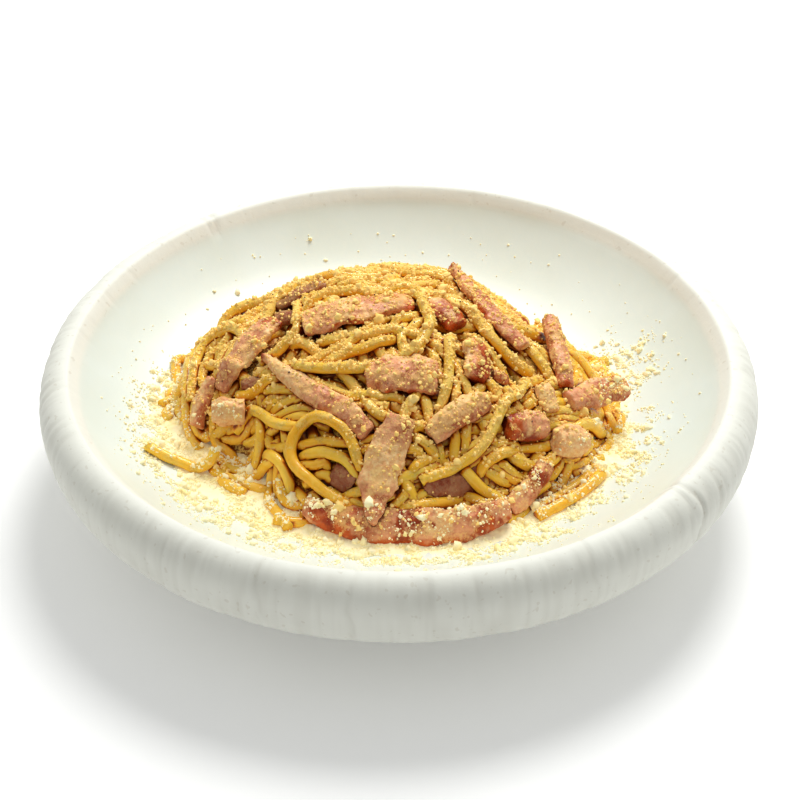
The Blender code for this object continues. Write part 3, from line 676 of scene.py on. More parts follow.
def make_bowl(material):
    """The bowl turned from one profile, its rim dragged with fine grooves."""
    bm = bmesh.new()
    points = [bm.verts.new((r * MM, 0.0, z * MM)) for r, z in bowl_profile()]
    edges = [bm.edges.new(pair) for pair in zip(points, points[1:])]
    bmesh.ops.spin(bm, geom=points + edges, cent=(0, 0, 0), axis=(0, 0, 1), angle=math.tau,
                   steps=TURNING_STEPS, use_merge=True)
    bmesh.ops.remove_doubles(bm, verts=bm.verts, dist=0.000001)
    bm.normal_update()
    bmesh.ops.recalc_face_normals(bm, faces=bm.faces)
    mesh = mesh_of(bm, "bowl_stoneware")
    places = places_of(mesh) / MM
    radius = np.hypot(places[:, 0], places[:, 1])
    height = places[:, 2]
    outer = smooth_step(radius, LIP_RADIUS - 0.5, LIP_RADIUS + 1.0)
    outside = np.where(height < DISH_FLOOR - 1.0, 1.0, outer)
    rimmed = np.where(height > FOOT_HEIGHT + 1.0, outer, 0.0)
    wobble = 0.35 * ripple(places, 28.0, 4.0)
    groove = rim_grooves(places, radius, height, rimmed)
    places += facings_of(mesh) * (rimmed * (wobble - groove))[:, None]
    places[:, 2] = np.minimum(places[:, 2], RIM_TOP)
    move_to(mesh, places * MM)
    note(mesh, "bare", outside)
    # groove: the depth of the drag marks, which the material paints as shade.
    note(mesh, "groove", np.clip(groove * 1.2, 0.0, 1.0) * rimmed)
    return finish_piece(mesh, "bowl_stoneware", material, ("bowl",))


# ---------------------------------------------------------------- heap outline

def tree_of(*things):
    """A search tree over whole objects."""
    places, corners, count = [], [], 0
    for thing in things:
        mesh = thing.data
        mesh.calc_loop_triangles()
        found = np.empty(len(mesh.loop_triangles) * 3, np.int32)
        mesh.loop_triangles.foreach_get("vertices", found)
        places.append(places_of(mesh))
        corners.append(found.reshape(-1, 3) + count)
        count += len(mesh.vertices)
    return BVHTree.FromPolygons(np.vstack(places).tolist(), np.vstack(corners).tolist(),
                                all_triangles=True)


def make_height_map():
    """The heap's height in millimetres over a square grid, dish where there is no heap."""
    tree = tree_of(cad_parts["pasta"])
    count = int(2 * MAP_HALF / MAP_STEP) + 1
    heights = np.empty((count, count))
    for row in range(count):
        for column in range(count):
            x = -MAP_HALF + column * MAP_STEP
            y = -MAP_HALF + row * MAP_STEP
            hit = tree.ray_cast(Vector((x * MM, y * MM, 0.2)), Vector((0, 0, -1)))[0]
            heights[row, column] = hit.z / MM if hit else float(dish_height(math.hypot(x, y)))
    for _ in range(2):
        heights[1:-1, 1:-1] = (4 * heights[1:-1, 1:-1] + heights[:-2, 1:-1] + heights[2:, 1:-1]
                               + heights[1:-1, :-2] + heights[1:-1, 2:]) / 8
    return heights


HEIGHTS = make_height_map()


def heap_height(x, y):
    """Heap's height at places in plan, between the grid's points."""
    column = np.clip((np.asarray(x, float) + MAP_HALF) / MAP_STEP, 0, HEIGHTS.shape[1] - 1.001)
    row = np.clip((np.asarray(y, float) + MAP_HALF) / MAP_STEP, 0, HEIGHTS.shape[0] - 1.001)
    left = column.astype(int)
    low = row.astype(int)
    u = column - left
    v = row - low
    return ((HEIGHTS[low, left] * (1 - u) + HEIGHTS[low, left + 1] * u) * (1 - v)
            + (HEIGHTS[low + 1, left] * (1 - u) + HEIGHTS[low + 1, left + 1] * u) * v)


def heap_rise(x, y):
    """How high the heap stands over the dish."""
    return heap_height(x, y) - dish_height(np.hypot(x, y))


def near_to(x, y, middle, reach):
    """1 at a spot in plan, fading to 0 over this reach."""
    return np.exp(-((x - middle[0]) ** 2 + (y - middle[1]) ** 2) / reach ** 2)


def gap_depth(x, y):
    """How much deeper the core lies in the gaps between the strands."""
    depth = np.zeros(np.shape(x))
    for gap_x, gap_y, reach, deep in GAPS:
        depth += deep * near_to(x, y, (gap_x, gap_y), reach)
    return depth


def core_height(x, y):
    """Height of the sauced core's surface, lower where the strands hang free."""
    dish = dish_height(np.hypot(x, y))
    clean = 2.5 * near_to(x, y, FRONT_LEFT, 24.0)
    return np.maximum(heap_height(x, y) - CORE_DEPTH - clean - gap_depth(x, y), dish + 0.4)


def heap_reaches():
    """Reach of the heap's foot every 5 degrees."""
    reaches = []
    for step in range(72):
        turn = math.radians(5 * step)
        reach = 90.0
        while heap_rise(reach * math.cos(turn), reach * math.sin(turn)) < 1.2:
            reach -= 0.5
        reaches.append(reach)
    return reaches


REACHES = np.array(heap_reaches())


def reach_at(angle):
    """Reach of the heap's foot in any direction."""
    place = np.degrees(angle) / 5.0 % 72
    base = place.astype(int)
    share = place - base
    return REACHES[base % 72] * (1 - share) + REACHES[(base + 1) % 72] * share


def make_core(material):
    """The sauced inside of the heap, which shows between the strands."""
    bm = bmesh.new()
    bmesh.ops.create_uvsphere(bm, u_segments=320, v_segments=200, radius=1.0)
    bmesh.ops.bisect_plane(bm, geom=bm.verts[:] + bm.edges[:] + bm.faces[:], dist=0.0001,
                           plane_co=(0, 0, 0), plane_no=(0, 0, -1), clear_outer=True)
    bmesh.ops.holes_fill(bm, edges=[e for e in bm.edges if e.is_boundary], sides=0)
    bmesh.ops.triangulate(bm, faces=[f for f in bm.faces if len(f.verts) > 4])
    mesh = mesh_of(bm, "sauced_core")
    places = places_of(mesh)
    angle = np.arctan2(places[:, 1], places[:, 0])
    share = np.clip(np.hypot(places[:, 0], places[:, 1]), 0.0, 1.0)
    reach = share * (reach_at(angle) - 3.5)
    x = reach * np.cos(angle)
    y = reach * np.sin(angle)
    z = core_height(x, y)
    flat = np.stack([x, y, z], 1)
    relief = 1.6 * pebbles(flat, 4.0) + 0.7 * pebbles(flat, 1.7, 3.0) + 0.8 * ripple(flat, 6.0)
    inner = smooth_step(1.0 - share, 0.0, 0.06)
    z = np.where(share > 0.9995, dish_height(reach) + 0.05, z + relief * inner)
    move_to(mesh, np.stack([x, y, z], 1) * MM)
    # Painted shade: the core is darkened where it dips into the gaps.
    note(mesh, "deep", np.clip(gap_depth(x, y) / 6.0, 0.0, 1.0))
    return finish_piece(mesh, "sauced_core", material, ("pasta",))


# ---------------------------------------------------------------- strands

def smooth_path(points, step):
    """Points at even steps along a smooth curve through the given ones."""
    points = np.asarray(points, float)
    padded = np.vstack([2 * points[0] - points[1], points, 2 * points[-1] - points[-2]])
    fine = []
    for index in range(len(points) - 1):
        p0, p1, p2, p3 = padded[index:index + 4]
        for t in np.linspace(0.0, 1.0, 12, endpoint=False):
            fine.append(p1 + 0.5 * t * (p2 - p0 + t * (2 * p0 - 5 * p1 + 4 * p2 - p3
                                                       + t * (3 * (p1 - p2) + p3 - p0))))
    fine.append(points[-1])
    fine = np.array(fine)
    run = np.concatenate([[0.0], np.cumsum(np.linalg.norm(np.diff(fine, axis=0), axis=1))])
    count = max(4, int(round(run[-1] / step)) + 1)
    wanted = np.linspace(0.0, run[-1], count)
    return np.stack([np.interp(wanted, run, fine[:, axis]) for axis in range(3)], 1)


def laid_paths():
    """The listed strands, as even beads in place on the heap and the dish."""
    paths = []
    for route in LAID_STRANDS:
        points = [(x, y, float(heap_height(x, y)) - STRAND_RADIUS + rise) for x, y, rise in route]
        paths.append(smooth_path(points, BEAD_STEP))
    stray = [(x, y, float(dish_height(math.hypot(x, y))) + rise) for x, y, rise in STRAY_STRAND]
    paths.append(smooth_path(stray, BEAD_STEP))
    return paths


def cover_cell(x, y):
    """Row and column of a place on the cover grid."""
    return int((y + MAP_HALF) / COVER_STEP), int((x + MAP_HALF) / COVER_STEP)


def flow_at(x, y, seed):
    """Direction in which the loose strands of a layer sweep at a place."""
    return noise.noise(Vector((x / FLOW_SIZE, y / FLOW_SIZE, seed))) * math.pi * 1.6


def wander(start, heading, length, cover, seed):
    """A loose strand's way over the heap in plan: it sweeps round and keeps to bare ground."""
    path = [start]
    x, y = start
    bend = 0.0
    for _ in range(int(length / BEAD_STEP)):
        flow = flow_at(x, y, seed)
        slope_x = float(heap_height(x + 4, y) - heap_height(x - 4, y)) / 8.0
        slope_y = float(heap_height(x, y + 4) - heap_height(x, y - 4)) / 8.0
        contour = math.atan2(slope_x, -slope_y)
        steep = min(1.0, math.hypot(slope_x, slope_y))
        lean = 0.04 * math.sin(flow - heading) + 0.10 * steep * math.sin(2 * (contour - heading))
        bend = 0.86 * bend + 0.14 * (chance.normal() * 0.10 + lean)
        choices = []
        for turn in (-SWERVE, 0.0, SWERVE):
            ahead = heading + bend + turn
            sight_x = x + SIGHT * math.cos(ahead)
            sight_y = y + SIGHT * math.sin(ahead)
            outside = 3.0 if heap_rise(sight_x, sight_y) < TURN_BACK_RISE else 0.0
            choices.append(cover[cover_cell(sight_x, sight_y)] + outside + abs(turn) * 1.4)
        heading += bend + (-SWERVE, 0.0, SWERVE)[int(np.argmin(choices))]
        x += BEAD_STEP * math.cos(heading)
        y += BEAD_STEP * math.sin(heading)
        if heap_rise(x, y) < TURN_BACK_RISE:
            inward = math.atan2(-y, -x)
            heading += 0.55 * math.sin(inward - heading)
        if heap_rise(x, y) < STOP_RISE:
            break
        path.append((x, y))
    return np.array(path)


def press_cover(cover, path, weight):
    """Note that a strand lies along this path."""
    for x, y in path[:, :2]:
        row, column = cover_cell(x, y)
        cover[row - 1:row + 2, column - 1:column + 2] += weight * 0.5
        cover[row, column] += weight * 0.5


def make_lids(bacon_nodes):
    """Height of the bacon's underside over the heap map's grid, high where there is no bacon."""
    lids = np.full(HEIGHTS.shape, NO_LID)
    for node in bacon_nodes:
        tree = tree_of(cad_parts[node])
        low, high = (np.array(corner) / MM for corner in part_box(node))
        first = np.floor(low[:2] + MAP_HALF).astype(int)
        last = np.ceil(high[:2] + MAP_HALF).astype(int) + 1
        for row in range(first[1], last[1]):
            for column in range(first[0], last[0]):
                start = Vector(((column - MAP_HALF) * MM, (row - MAP_HALF) * MM, 0.0))
                hit = tree.ray_cast(start, Vector((0, 0, 1)))[0]
                if hit:
                    near = lids[row - 1:row + 2, column - 1:column + 2]
                    np.minimum(near, hit.z / MM, out=near)
    return lids


def loose_paths(laid, lids):
    """Layer on layer of loose strands, each started where the heap is barest."""
    paths = []
    axis = np.arange(-MAP_HALF, MAP_HALF + 1.0, COVER_STEP)
    grid_x, grid_y = np.meshgrid(axis, axis)
    rise = heap_rise(grid_x, grid_y)
    every = round(COVER_STEP / MAP_STEP)
    lidded = lids[::every, ::every] < NO_LID
    for depth, total, seed in LAYERS:
        cover = np.where(rise > 4.0, 0.0, 9.0) + gap_depth(grid_x, grid_y) * 0.5
        if depth < 3.0:
            cover += 1.5 * lidded
            for path in laid:
                press_cover(cover, path, 1.2)
        made = 0.0
        while made < total:
            bare = cover + chance.random(cover.shape) * 0.8
            row, column = np.unravel_index(np.argmin(bare), cover.shape)
            start = (axis[column], axis[row])
            heading = flow_at(*start, seed) + chance.normal() * 0.35
            length = chance.uniform(110.0, 260.0)
            path = wander(start, heading, length, cover, seed)
            if len(path) < 8:
                cover[row, column] += 2.0
                continue
            press_cover(cover, path, 1.0)
            run = np.arange(len(path)) * BEAD_STEP
            wave = np.array([noise.noise(Vector((s / 17.0, len(paths) * 3.3, seed))) for s in run])
            dive = END_DIVE * (smooth_step(END_RUN - run, 0.0, END_RUN)
                               + smooth_step(run - run[-1] + END_RUN, 0.0, END_RUN))
            z = heap_height(path[:, 0], path[:, 1]) - depth - 2.2 * wave - dive
            column = np.rint(path[:, 0] + MAP_HALF).astype(int)
            row = np.rint(path[:, 1] + MAP_HALF).astype(int)
            z = np.minimum(z, lids[row, column] - 1.1 * STRAND_RADIUS)
            z = np.maximum(z, dish_height(np.hypot(path[:, 0], path[:, 1])) + STRAND_RADIUS)
            paths.append(np.column_stack([path, z]))
            made += run[-1]
    return paths


def near_pairs(points, reach):
    """Pairs of points closer than about the reach, found by sorting them into cells."""
    cell = np.floor(points / reach).astype(np.int64)
    cell -= cell.min(axis=0) - 1
    span = cell.max(axis=0) + 2
    key = (cell[:, 0] * span[1] + cell[:, 1]) * span[2] + cell[:, 2]
    order = np.argsort(key, kind="stable")
    ordered = key[order]
    firsts, seconds = [], []
    for a in (-1, 0, 1):
        for b in (-1, 0, 1):
            for c in (-1, 0, 1):
                shift = (a * span[1] + b) * span[2] + c
                if (a, b, c) < (0, 0, 0):
                    continue
                begin = np.searchsorted(ordered, key + shift, "left")
                count = np.searchsorted(ordered, key + shift, "right") - begin
                first = np.repeat(np.arange(len(points)), count)
                offset = np.arange(count.sum()) - np.repeat(np.cumsum(count) - count, count)
                second = order[np.repeat(begin, count) + offset]
                if shift == 0:
                    keep = first < second
                    first, second = first[keep], second[keep]
                firsts.append(first)
                seconds.append(second)
    first = np.concatenate(firsts)
    second = np.concatenate(seconds)
    close = np.linalg.norm(points[first] - points[second], axis=1) < reach
    return first[close], second[close]


def beads_in(node):
    """Beads that fill a bacon strip, so that the strands settle round it."""
    tree = tree_of(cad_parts[node])
    low, high = (np.array(corner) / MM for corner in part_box(node))
    beads = []
    spacing = 1.8
    for x in np.arange(low[0] + 0.6, high[0], spacing):
        for y in np.arange(low[1] + 0.6, high[1], spacing):
            for z in np.arange(low[2] + 0.6, high[2], spacing):
                place = Vector((x, y, z)) * MM
                near, facing, _, gap = tree.find_nearest(place)
                if (place - near).dot(facing) < 0:
                    beads.append((x, y, z, min(gap / MM, 2.0)))
    return beads


def push_apart(every, size, first, second, free):
    """How far each free bead moves so that the pairs overlap less."""
    between = every[second] - every[first]
    distance = np.maximum(np.linalg.norm(between, axis=1), 1e-6)
    overlap = np.clip(size[first] + size[second] - distance, 0.0, None)
    push = between * (overlap / distance)[:, None]
    share_first = np.where(second >= free, 1.0, 0.5)
    share_second = np.where(first >= free, 1.0, 0.5)
    move = np.zeros_like(every)
    for axis in range(3):
        move[:, axis] -= np.bincount(first, push[:, axis] * share_first, len(every))
        move[:, axis] += np.bincount(second, push[:, axis] * share_second, len(every))
    touched = np.bincount(first, overlap > 0, len(every))
    touched += np.bincount(second, overlap > 0, len(every))
    move /= np.maximum(touched, 1.0)[:, None] ** 0.6
    return move[:free]


def settle_strands(paths, tether, obstacles):
    """Push the strands apart until they lie over, under and beside each other."""
    counts = [len(path) for path in paths]
    owner = np.repeat(np.arange(len(paths)), counts)
    home = np.vstack(paths)
    hold = np.repeat(tether, counts)
    free = len(home)
    fixed = np.array([bead[:3] for bead in obstacles])
    size = np.concatenate([np.full(free, STRAND_RADIUS * STRAND_FIT),
                           [bead[3] for bead in obstacles]])
    group = np.concatenate([owner, np.full(len(fixed), -1)])
    joined = owner[1:] == owner[:-1]
    inner = np.zeros(free, bool)
    inner[1:-1] = joined[1:] & joined[:-1]
    middle = np.nonzero(inner)[0]
    shift = np.zeros_like(home)
    turns = SETTLE_TURNS
    for turn in range(turns):
        points = home + shift
        every = np.vstack([points, fixed])
        if turn % 5 == 0:
            first, second = near_pairs(every, 2 * STRAND_RADIUS + 1.2)
            apart = np.abs(first - second) > 3
            keep = (group[first] != group[second]) | ((group[first] >= 0) & apart)
            keep &= (first < free) | (second < free)
            first, second = first[keep], second[keep]
        shift += push_apart(every, size, first, second, free)
        for _ in range(2):
            shift[middle] = 0.5 * shift[middle] + 0.25 * (shift[middle - 1] + shift[middle + 1])
        shift *= (1.0 - hold)[:, None]
        points = home + shift
        radius = np.hypot(points[:, 0], points[:, 1])
        floor = dish_height(radius) + STRAND_RADIUS
        floor = np.maximum(floor, core_height(points[:, 0], points[:, 1]) + 0.3)
        shift[:, 2] += np.clip(floor - points[:, 2], 0.0, None)
        top = heap_height(points[:, 0], points[:, 1]) - 0.6
        loose = hold < LAID_HOLD
        shift[loose, 2] -= 0.5 * np.clip((points[:, 2] - top)[loose], 0.0, None)
    points = home + shift
    return np.split(points, np.cumsum(counts)[:-1])


def make_rod(rings):
    """A round rod one long and one in radius, divided into rings along its length."""
    bm = bmesh.new()
    bmesh.ops.create_cone(bm, cap_ends=True, cap_tris=False, segments=STRAND_SIDES,
                          radius1=1.0, radius2=1.0, depth=1.0)
    long_edges = [e for e in bm.edges if abs(e.verts[0].co.z - e.verts[1].co.z) > 0.5]
    bmesh.ops.subdivide_edges(bm, edges=long_edges, cuts=rings - 2)
    return mesh_of(bm, "rod")


def bend_rod(path, thick, tone, seed):
    """A rod bent along a path, as thick as given, lumpy with sauce."""
    mesh = make_rod(len(path))
    places = places_of(mesh)
    ring = np.rint((places[:, 2] + 0.5) * (len(path) - 1)).astype(int)
    run = np.gradient(path, axis=0)
    run /= np.linalg.norm(run, axis=1)[:, None]
    side = np.empty_like(run)
    across = np.cross((0.0, 0.0, 1.0), run[0])
    side[0] = across / max(np.linalg.norm(across), 1e-9)
    for index in range(1, len(path)):
        turned = side[index - 1] - run[index] * (side[index - 1] @ run[index])
        side[index] = turned / np.linalg.norm(turned)
    up = np.cross(run, side)
    away = side[ring] * places[:, :1] + up[ring] * places[:, 1:2]
    centre = path[ring]
    skin = centre + away * thick
    lumps = 0.10 * ripple(skin, 2.8, seed) + 0.05 * ripple(skin, 1.2, seed + 3.0)
    swell = 1.0 + 0.08 * ripple(centre, 14.0, seed)
    skin = centre + away * (thick * (swell + lumps))[:, None]
    move_to(mesh, skin * MM)
    along = tone + 0.35 * ripple(centre, 11.0, seed + 9.0)
    return mesh, np.clip(along, 0.0, 1.0), skin


def dustiness(places):
    """Share of cheese that settles: most over the top and the right, least at the lower left."""
    x, y, z = places[:, 0], places[:, 1], places[:, 2]
    high = smooth_step(z, DISH_FLOOR + 14.0, DISH_FLOOR + 34.0)
    return 0.14 + 0.24 * high - 0.22 * near_to(x, y + 2.0, FRONT_LEFT, 22.0)


def depth_under(places):
    """Distance of places inside the heap from its outline, negative outside it."""
    x, y, z = places[:, 0], places[:, 1], places[:, 2]
    lean_x = (heap_height(x + 1.5, y) - heap_height(x - 1.5, y)) / 3.0
    lean_y = (heap_height(x, y + 1.5) - heap_height(x, y - 1.5)) / 3.0
    return (heap_height(x, y) - z) / np.sqrt(1.0 + lean_x ** 2 + lean_y ** 2)


def note_shelter(pieces, others):
    """Note how far each vertex of the pieces is hemmed in by what lies round it, as deep, which the
    materials turn into painted shade.
    """
    tree = tree_of(*pieces, *others)
    for piece in pieces:
        places = places_of(piece.data)
        facings = facings_of(piece.data)
        hits = np.zeros(len(places))
        for lean in SHELTER_WAYS:
            ways = facings * 0.9 + lean
            ways /= np.maximum(np.linalg.norm(ways, axis=1), 0.1)[:, None]
            starts = places + facings * (0.25 * MM)
            for index, (start, way) in enumerate(zip(starts.tolist(), ways.tolist())):
                gap = tree.ray_cast(start, way, SHELTER_REACH * MM)[3]
                if gap is not None:
                    hits[index] += 1.0 - 0.6 * gap / (SHELTER_REACH * MM)
        shelter = hits / len(SHELTER_WAYS)
        within = smooth_step(depth_under(places / MM), 2.5, 8.0)
        # Bacon sunk in hollows gets at least SUNK_SHADE of painted shade.
        least = SUNK_SHADE if piece.name.replace("fried_", "") in SUNK_BACON else 0.0
        note(piece.data, "deep", np.maximum(smooth_step(shelter + 0.30 * within, 0.18, 0.82), least))


def make_strands(name, paths, material):
    """One piece made of many strands."""
    bm = bmesh.new()
    tones, dusty = [], []
    for index, path in enumerate(paths):
        thick = STRAND_RADIUS * chance.uniform(0.90, 1.08)
        rod, along, skin = bend_rod(smooth_path(path, RING_STEP), thick, chance.uniform(0.15, 0.85),
                                    index * 0.37)
        bm.from_mesh(rod)
        tones.append(along)
        dusty.append(dustiness(skin))
        bpy.data.meshes.remove(rod)
    mesh = mesh_of(bm, name)
    note(mesh, "tone", np.concatenate(tones))
    note(mesh, "dusty", np.concatenate(dusty))
    return finish_piece(mesh, name, material)


def make_all_strands(material, bacon_nodes):
    """All strands, settled together round the bacon and made into three pieces."""
    laid = laid_paths()
    loose = loose_paths(laid, make_lids(bacon_nodes))
    obstacles = [bead for node in bacon_nodes for bead in beads_in(node)]
    tether = [LAID_HOLD] * len(laid) + [LOOSE_HOLD] * len(loose)
    settled = settle_strands(laid + loose, tether, obstacles)
    loose_settled = settled[len(laid):]
    half = len(loose_settled) // 2
    return [make_strands("strands_laid_over", settled[:len(laid)], material),
            make_strands("strands_under", loose_settled[:half], material),
            make_strands("strands_middle", loose_settled[half:], material)]


# ---------------------------------------------------------------- bacon

def own_axes(places):
    """A strip's middle and its own directions: along it, across it and through it."""
    middle = places.mean(axis=0)
    _, _, axes = np.linalg.svd(places - middle, full_matrices=False)
    return middle, axes


def strip_axes(places):
    """Places on a strip, from -1 to 1 along it, across it and through it."""
    middle, axes = own_axes(places)
    if axes[0][0] < 0:
        axes[0] *= -1
    if axes[1] @ np.array((0.0, 0.75, 0.66)) < 0:
        axes[1] *= -1
    local = (places - middle) @ axes.T
    span = np.abs(local).max(axis=0)
    return local / span


def in_bands(bands, local, drift):
    """1 inside any of the bands, fading at their edges, which drift in and out."""
    mask = np.zeros(len(local))
    for direction, centre, reach in bands:
        value = local[:, 0 if direction == "along" else 1]
        off = np.abs(value + drift - centre) / reach
        mask = np.maximum(mask, smooth_step(1.0 - off, 0.0, 0.5))
    return mask


def flatten(places):
    """A strip made a little wider and thinner."""
    middle, axes = own_axes(places)
    local = (places - middle) @ axes.T
    return middle + (local * (1.0, 1.10, 0.92)) @ axes


def draw_out(places, factor):
    """Lengthen a strip's left half, and keep it as high over the heap as it was."""
    middle, axes = own_axes(places)
    along = axes[0] if axes[0][0] > 0 else -axes[0]
    run = (places - middle) @ along
    moved = along * (np.minimum(run, 0.0) * (factor - 1.0))[:, None]
    near = middle + along * run[:, None]
    far = near + moved
    moved[:, 2] += heap_height(far[:, 0], far[:, 1]) - heap_height(near[:, 0], near[:, 1])
    moved[:, 2] += near[:, 2] - far[:, 2]
    return places + moved


def make_bacon(node, index, material):
    """A bacon piece: the strip's solid, torn and crumpled at its surface."""
    bm = bmesh.new()
    bm.from_mesh(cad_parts[node].data)
    bmesh.ops.remove_doubles(bm, verts=bm.verts, dist=0.000002)
    solid = mesh_of(bm, node + "_solid")

    def remesh(passing):
        cut = passing.modifiers.new("even_mesh", "REMESH")
        cut.mode = "VOXEL"
        cut.voxel_size = VOXEL * MM
    mesh = with_modifiers(solid, "passing", remesh)
    places = places_of(mesh) / MM
    local = strip_axes(places)
    if node in DRAWN_OUT:
        places = draw_out(places, DRAWN_OUT[node])
    places = flatten(places)
    move_to(mesh, places * MM)
    facings = facings_of(mesh)
    seed = index * 1.9
    torn = 0.50 * ripple(places, 6.0, seed) + 0.35 * ripple(places, 2.2, seed + 1)
    rough = 0.30 * pebbles(places, 1.4, seed) + 0.12 * ripple(places, 0.9, seed + 2)
    places += facings * (torn + rough)[:, None]
    move_to(mesh, places * MM)
    fat_bands, crisp_bands, dusty = BACON_LOOKS.get(node, PLAIN_LOOK)
    drift = 0.22 * ripple(places, 4.0, seed + 7) + 0.12 * ripple(places, 1.6, seed + 8)
    note(mesh, "fat", in_bands(fat_bands, local, drift))
    note(mesh, "crisp", in_bands(crisp_bands, local, -drift))
    note(mesh, "dusty", np.full(len(places), 0.6 * dusty - 0.04))
    return finish_piece(mesh, "fried_" + node, material, (node,))


# ---------------------------------------------------------------- cheese and pepper

def drift_reach(angle):
    """How far out the grated cheese lies, in each direction."""
    degrees = (np.degrees(angle) - DRIFT_START) % 360.0 + DRIFT_START
    angles, reaches = zip(*DRIFT_REACH)
    return np.interp(degrees, angles, reaches)


def make_cheese_bank(material):
    """The drift of grated cheese round the foot of the heap."""
    start = math.radians(DRIFT_START)
    sweep = math.radians(DRIFT_REACH[-1][0] - DRIFT_START)
    bm = bmesh.new()
    bmesh.ops.create_grid(bm, x_segments=900, y_segments=40, size=0.5)
    thick = bmesh.ops.extrude_face_region(bm, geom=bm.faces[:])
    for vert in (v for v in thick["geom"] if isinstance(v, bmesh.types.BMVert)):
        vert.co.z = 1.0
    mesh = mesh_of(bm, "grated_cheese_drift")
    places = places_of(mesh)
    turn = start + sweep * (places[:, 0] + 0.5)
    foot = reach_at(turn)
    reach = drift_reach(turn)
    inner = foot - 5.0
    radius = inner + (reach + 4.0 - inner) * (places[:, 1] + 0.5)
    top = places[:, 2] > 0.5
    x, y = radius * np.cos(turn), radius * np.sin(turn)
    dish = dish_height(radius)
    flat = np.stack([x, y, np.zeros(len(x))], 1)
    ragged = radius + 3.5 * ripple(flat, 7.0, 2.0) + 1.5 * ripple(flat, 2.5, 9.0)
    fall = 1.0 - smooth_step(ragged, foot - 1.0, reach - 1.0)
    crumbly = (0.55 * pebbles(flat, 1.7, 1.0) + 0.40 * pebbles(flat, 1.0, 6.0)
               + 0.35 * ripple(flat, 3.0, 4.0))
    rise = np.where(top, 2.5 * fall + crumbly * (0.45 + 0.7 * fall) - 0.42, -0.5)
    edge = np.minimum(places[:, 0] + 0.5, 0.5 - places[:, 0]) * 2
    rise = np.where(top & (edge < 0.004), -0.35, rise)
    rise = np.clip(rise, np.where(top, -0.35, -0.6), 3.2)
    move_to(mesh, np.stack([x, y, dish + rise], 1) * MM)
    note(mesh, "tone", np.clip(1.4 * fall - 0.2 - 0.5 * crumbly, 0.0, 1.0))
    bm = bmesh.new()
    bm.from_mesh(mesh)
    bm.normal_update()
    bmesh.ops.recalc_face_normals(bm, faces=bm.faces)
    bm.to_mesh(mesh)
    bm.free()
    return finish_piece(mesh, "grated_cheese_drift", material, ("grated_cheese",))


def make_crumb(name, divisions, seed):
    """An angular crumb about one across."""
    bm = bmesh.new()
    bmesh.ops.create_icosphere(bm, subdivisions=divisions, radius=0.5)
    for vert in bm.verts:
        vert.co *= 1.0 + 0.9 * noise.noise(vert.co * 2.9 + Vector((seed, 0, 0)))
    crumb = bpy.data.objects.new(name, mesh_of(bm, name))
    bpy.context.scene.collection.objects.link(crumb)
    return crumb


def scatter(name, spots, sizes, tones, divisions, material):
    """A crumb on each spot, turned and stretched its own way, all joined into one mesh."""
    cloud = bpy.data.meshes.new(name + "_spots")
    cloud.vertices.add(len(spots))
    cloud.vertices.foreach_set("co", (np.asarray(spots) * MM).astype(np.float32).ravel())
    for label, values in (("turn", chance.uniform(0, math.tau, (len(spots), 3))),
                          ("stretch", np.asarray(sizes) * MM)):
        attribute = cloud.attributes.new(label, "FLOAT_VECTOR", "POINT")
        attribute.data.foreach_set("vector", values.astype(np.float32).ravel())
    note(cloud, "tone", tones)
    crumb = make_crumb(name + "_crumb", divisions, len(spots) * 0.01)
    group = bpy.data.node_groups.new(name, "GeometryNodeTree")
    group.interface.new_socket("Spots", in_out="INPUT", socket_type="NodeSocketGeometry")
    group.interface.new_socket("Crumbs", in_out="OUTPUT", socket_type="NodeSocketGeometry")
    given = group.nodes.new("NodeGroupInput")
    out = group.nodes.new("NodeGroupOutput")
    shape = add(group, "GeometryNodeObjectInfo", {"Object": crumb})
    turn = add(group, "GeometryNodeInputNamedAttribute", {"Name": "turn"}, data_type="FLOAT_VECTOR")
    stretch = add(group, "GeometryNodeInputNamedAttribute", {"Name": "stretch"},
                  data_type="FLOAT_VECTOR")
    placed = add(group, "GeometryNodeInstanceOnPoints",
                 {"Points": given.outputs[0], "Instance": shape.outputs["Geometry"],
                  "Rotation": turn.outputs["Attribute"], "Scale": stretch.outputs["Attribute"]})
    joined = add(group, "GeometryNodeRealizeInstances", {"Geometry": placed.outputs["Instances"]})
    group.links.new(joined.outputs["Geometry"], out.inputs[0])

    def instance(passing):
        passing.modifiers.new("crumbs", "NODES").node_group = group
    mesh = with_modifiers(cloud, "passing", instance)
    bpy.data.objects.remove(crumb)
    return finish_piece(mesh, name, material)


def fall_on(trees, count, reach, tilt, wanted):
    """Spots where falling crumbs come to rest, kept with the chance that wanted gives."""
    spots, facings = [], []
    while len(spots) < count:
        angle = chance.uniform(0, math.tau)
        radius = reach * math.sqrt(chance.random())
        x, y = radius * math.cos(angle), radius * math.sin(angle)
        lean = chance.normal(0.0, tilt, 2)
        way = Vector((lean[0], lean[1], -1.0)).normalized()
        start = Vector((x * MM, y * MM, 0.045)) - way * 0.08
        best = None
        for tree, share in trees:
            hit, facing, _, gap = tree.ray_cast(start, way)
            if hit and (best is None or gap < best[2]):
                best = (hit, facing, gap, share)
        if best is None:
            continue
        place = best[0] / MM
        if chance.random() < best[3] * wanted(place, best[1]):
            spots.append(tuple(place))
            facings.append(tuple(best[1]))
    return np.array(spots), np.array(facings)


def crumb_sizes(count, typical, spread, largest):
    """Uneven crumb sizes in three directions."""
    size = np.minimum(typical * np.exp(chance.normal(0.0, spread, count)), largest)
    return size[:, None] * chance.uniform(0.65, 1.35, (count, 3))


def heap_wants(place, facing):
    """Crumbs stay on what faces up, in drifts, and less at the lower left."""
    drift = noise.noise(Vector((place.x / 9.0, place.y / 9.0, place.z / 9.0)))
    share = 0.22 + 0.75 * drift + 0.25 * facing.z
    share += 0.30 * min(1.0, max(0.0, (place.z - DISH_FLOOR - 16) / 20.0))
    return share - 0.8 * near_to(place.x, place.y, FRONT_LEFT, 20.0)


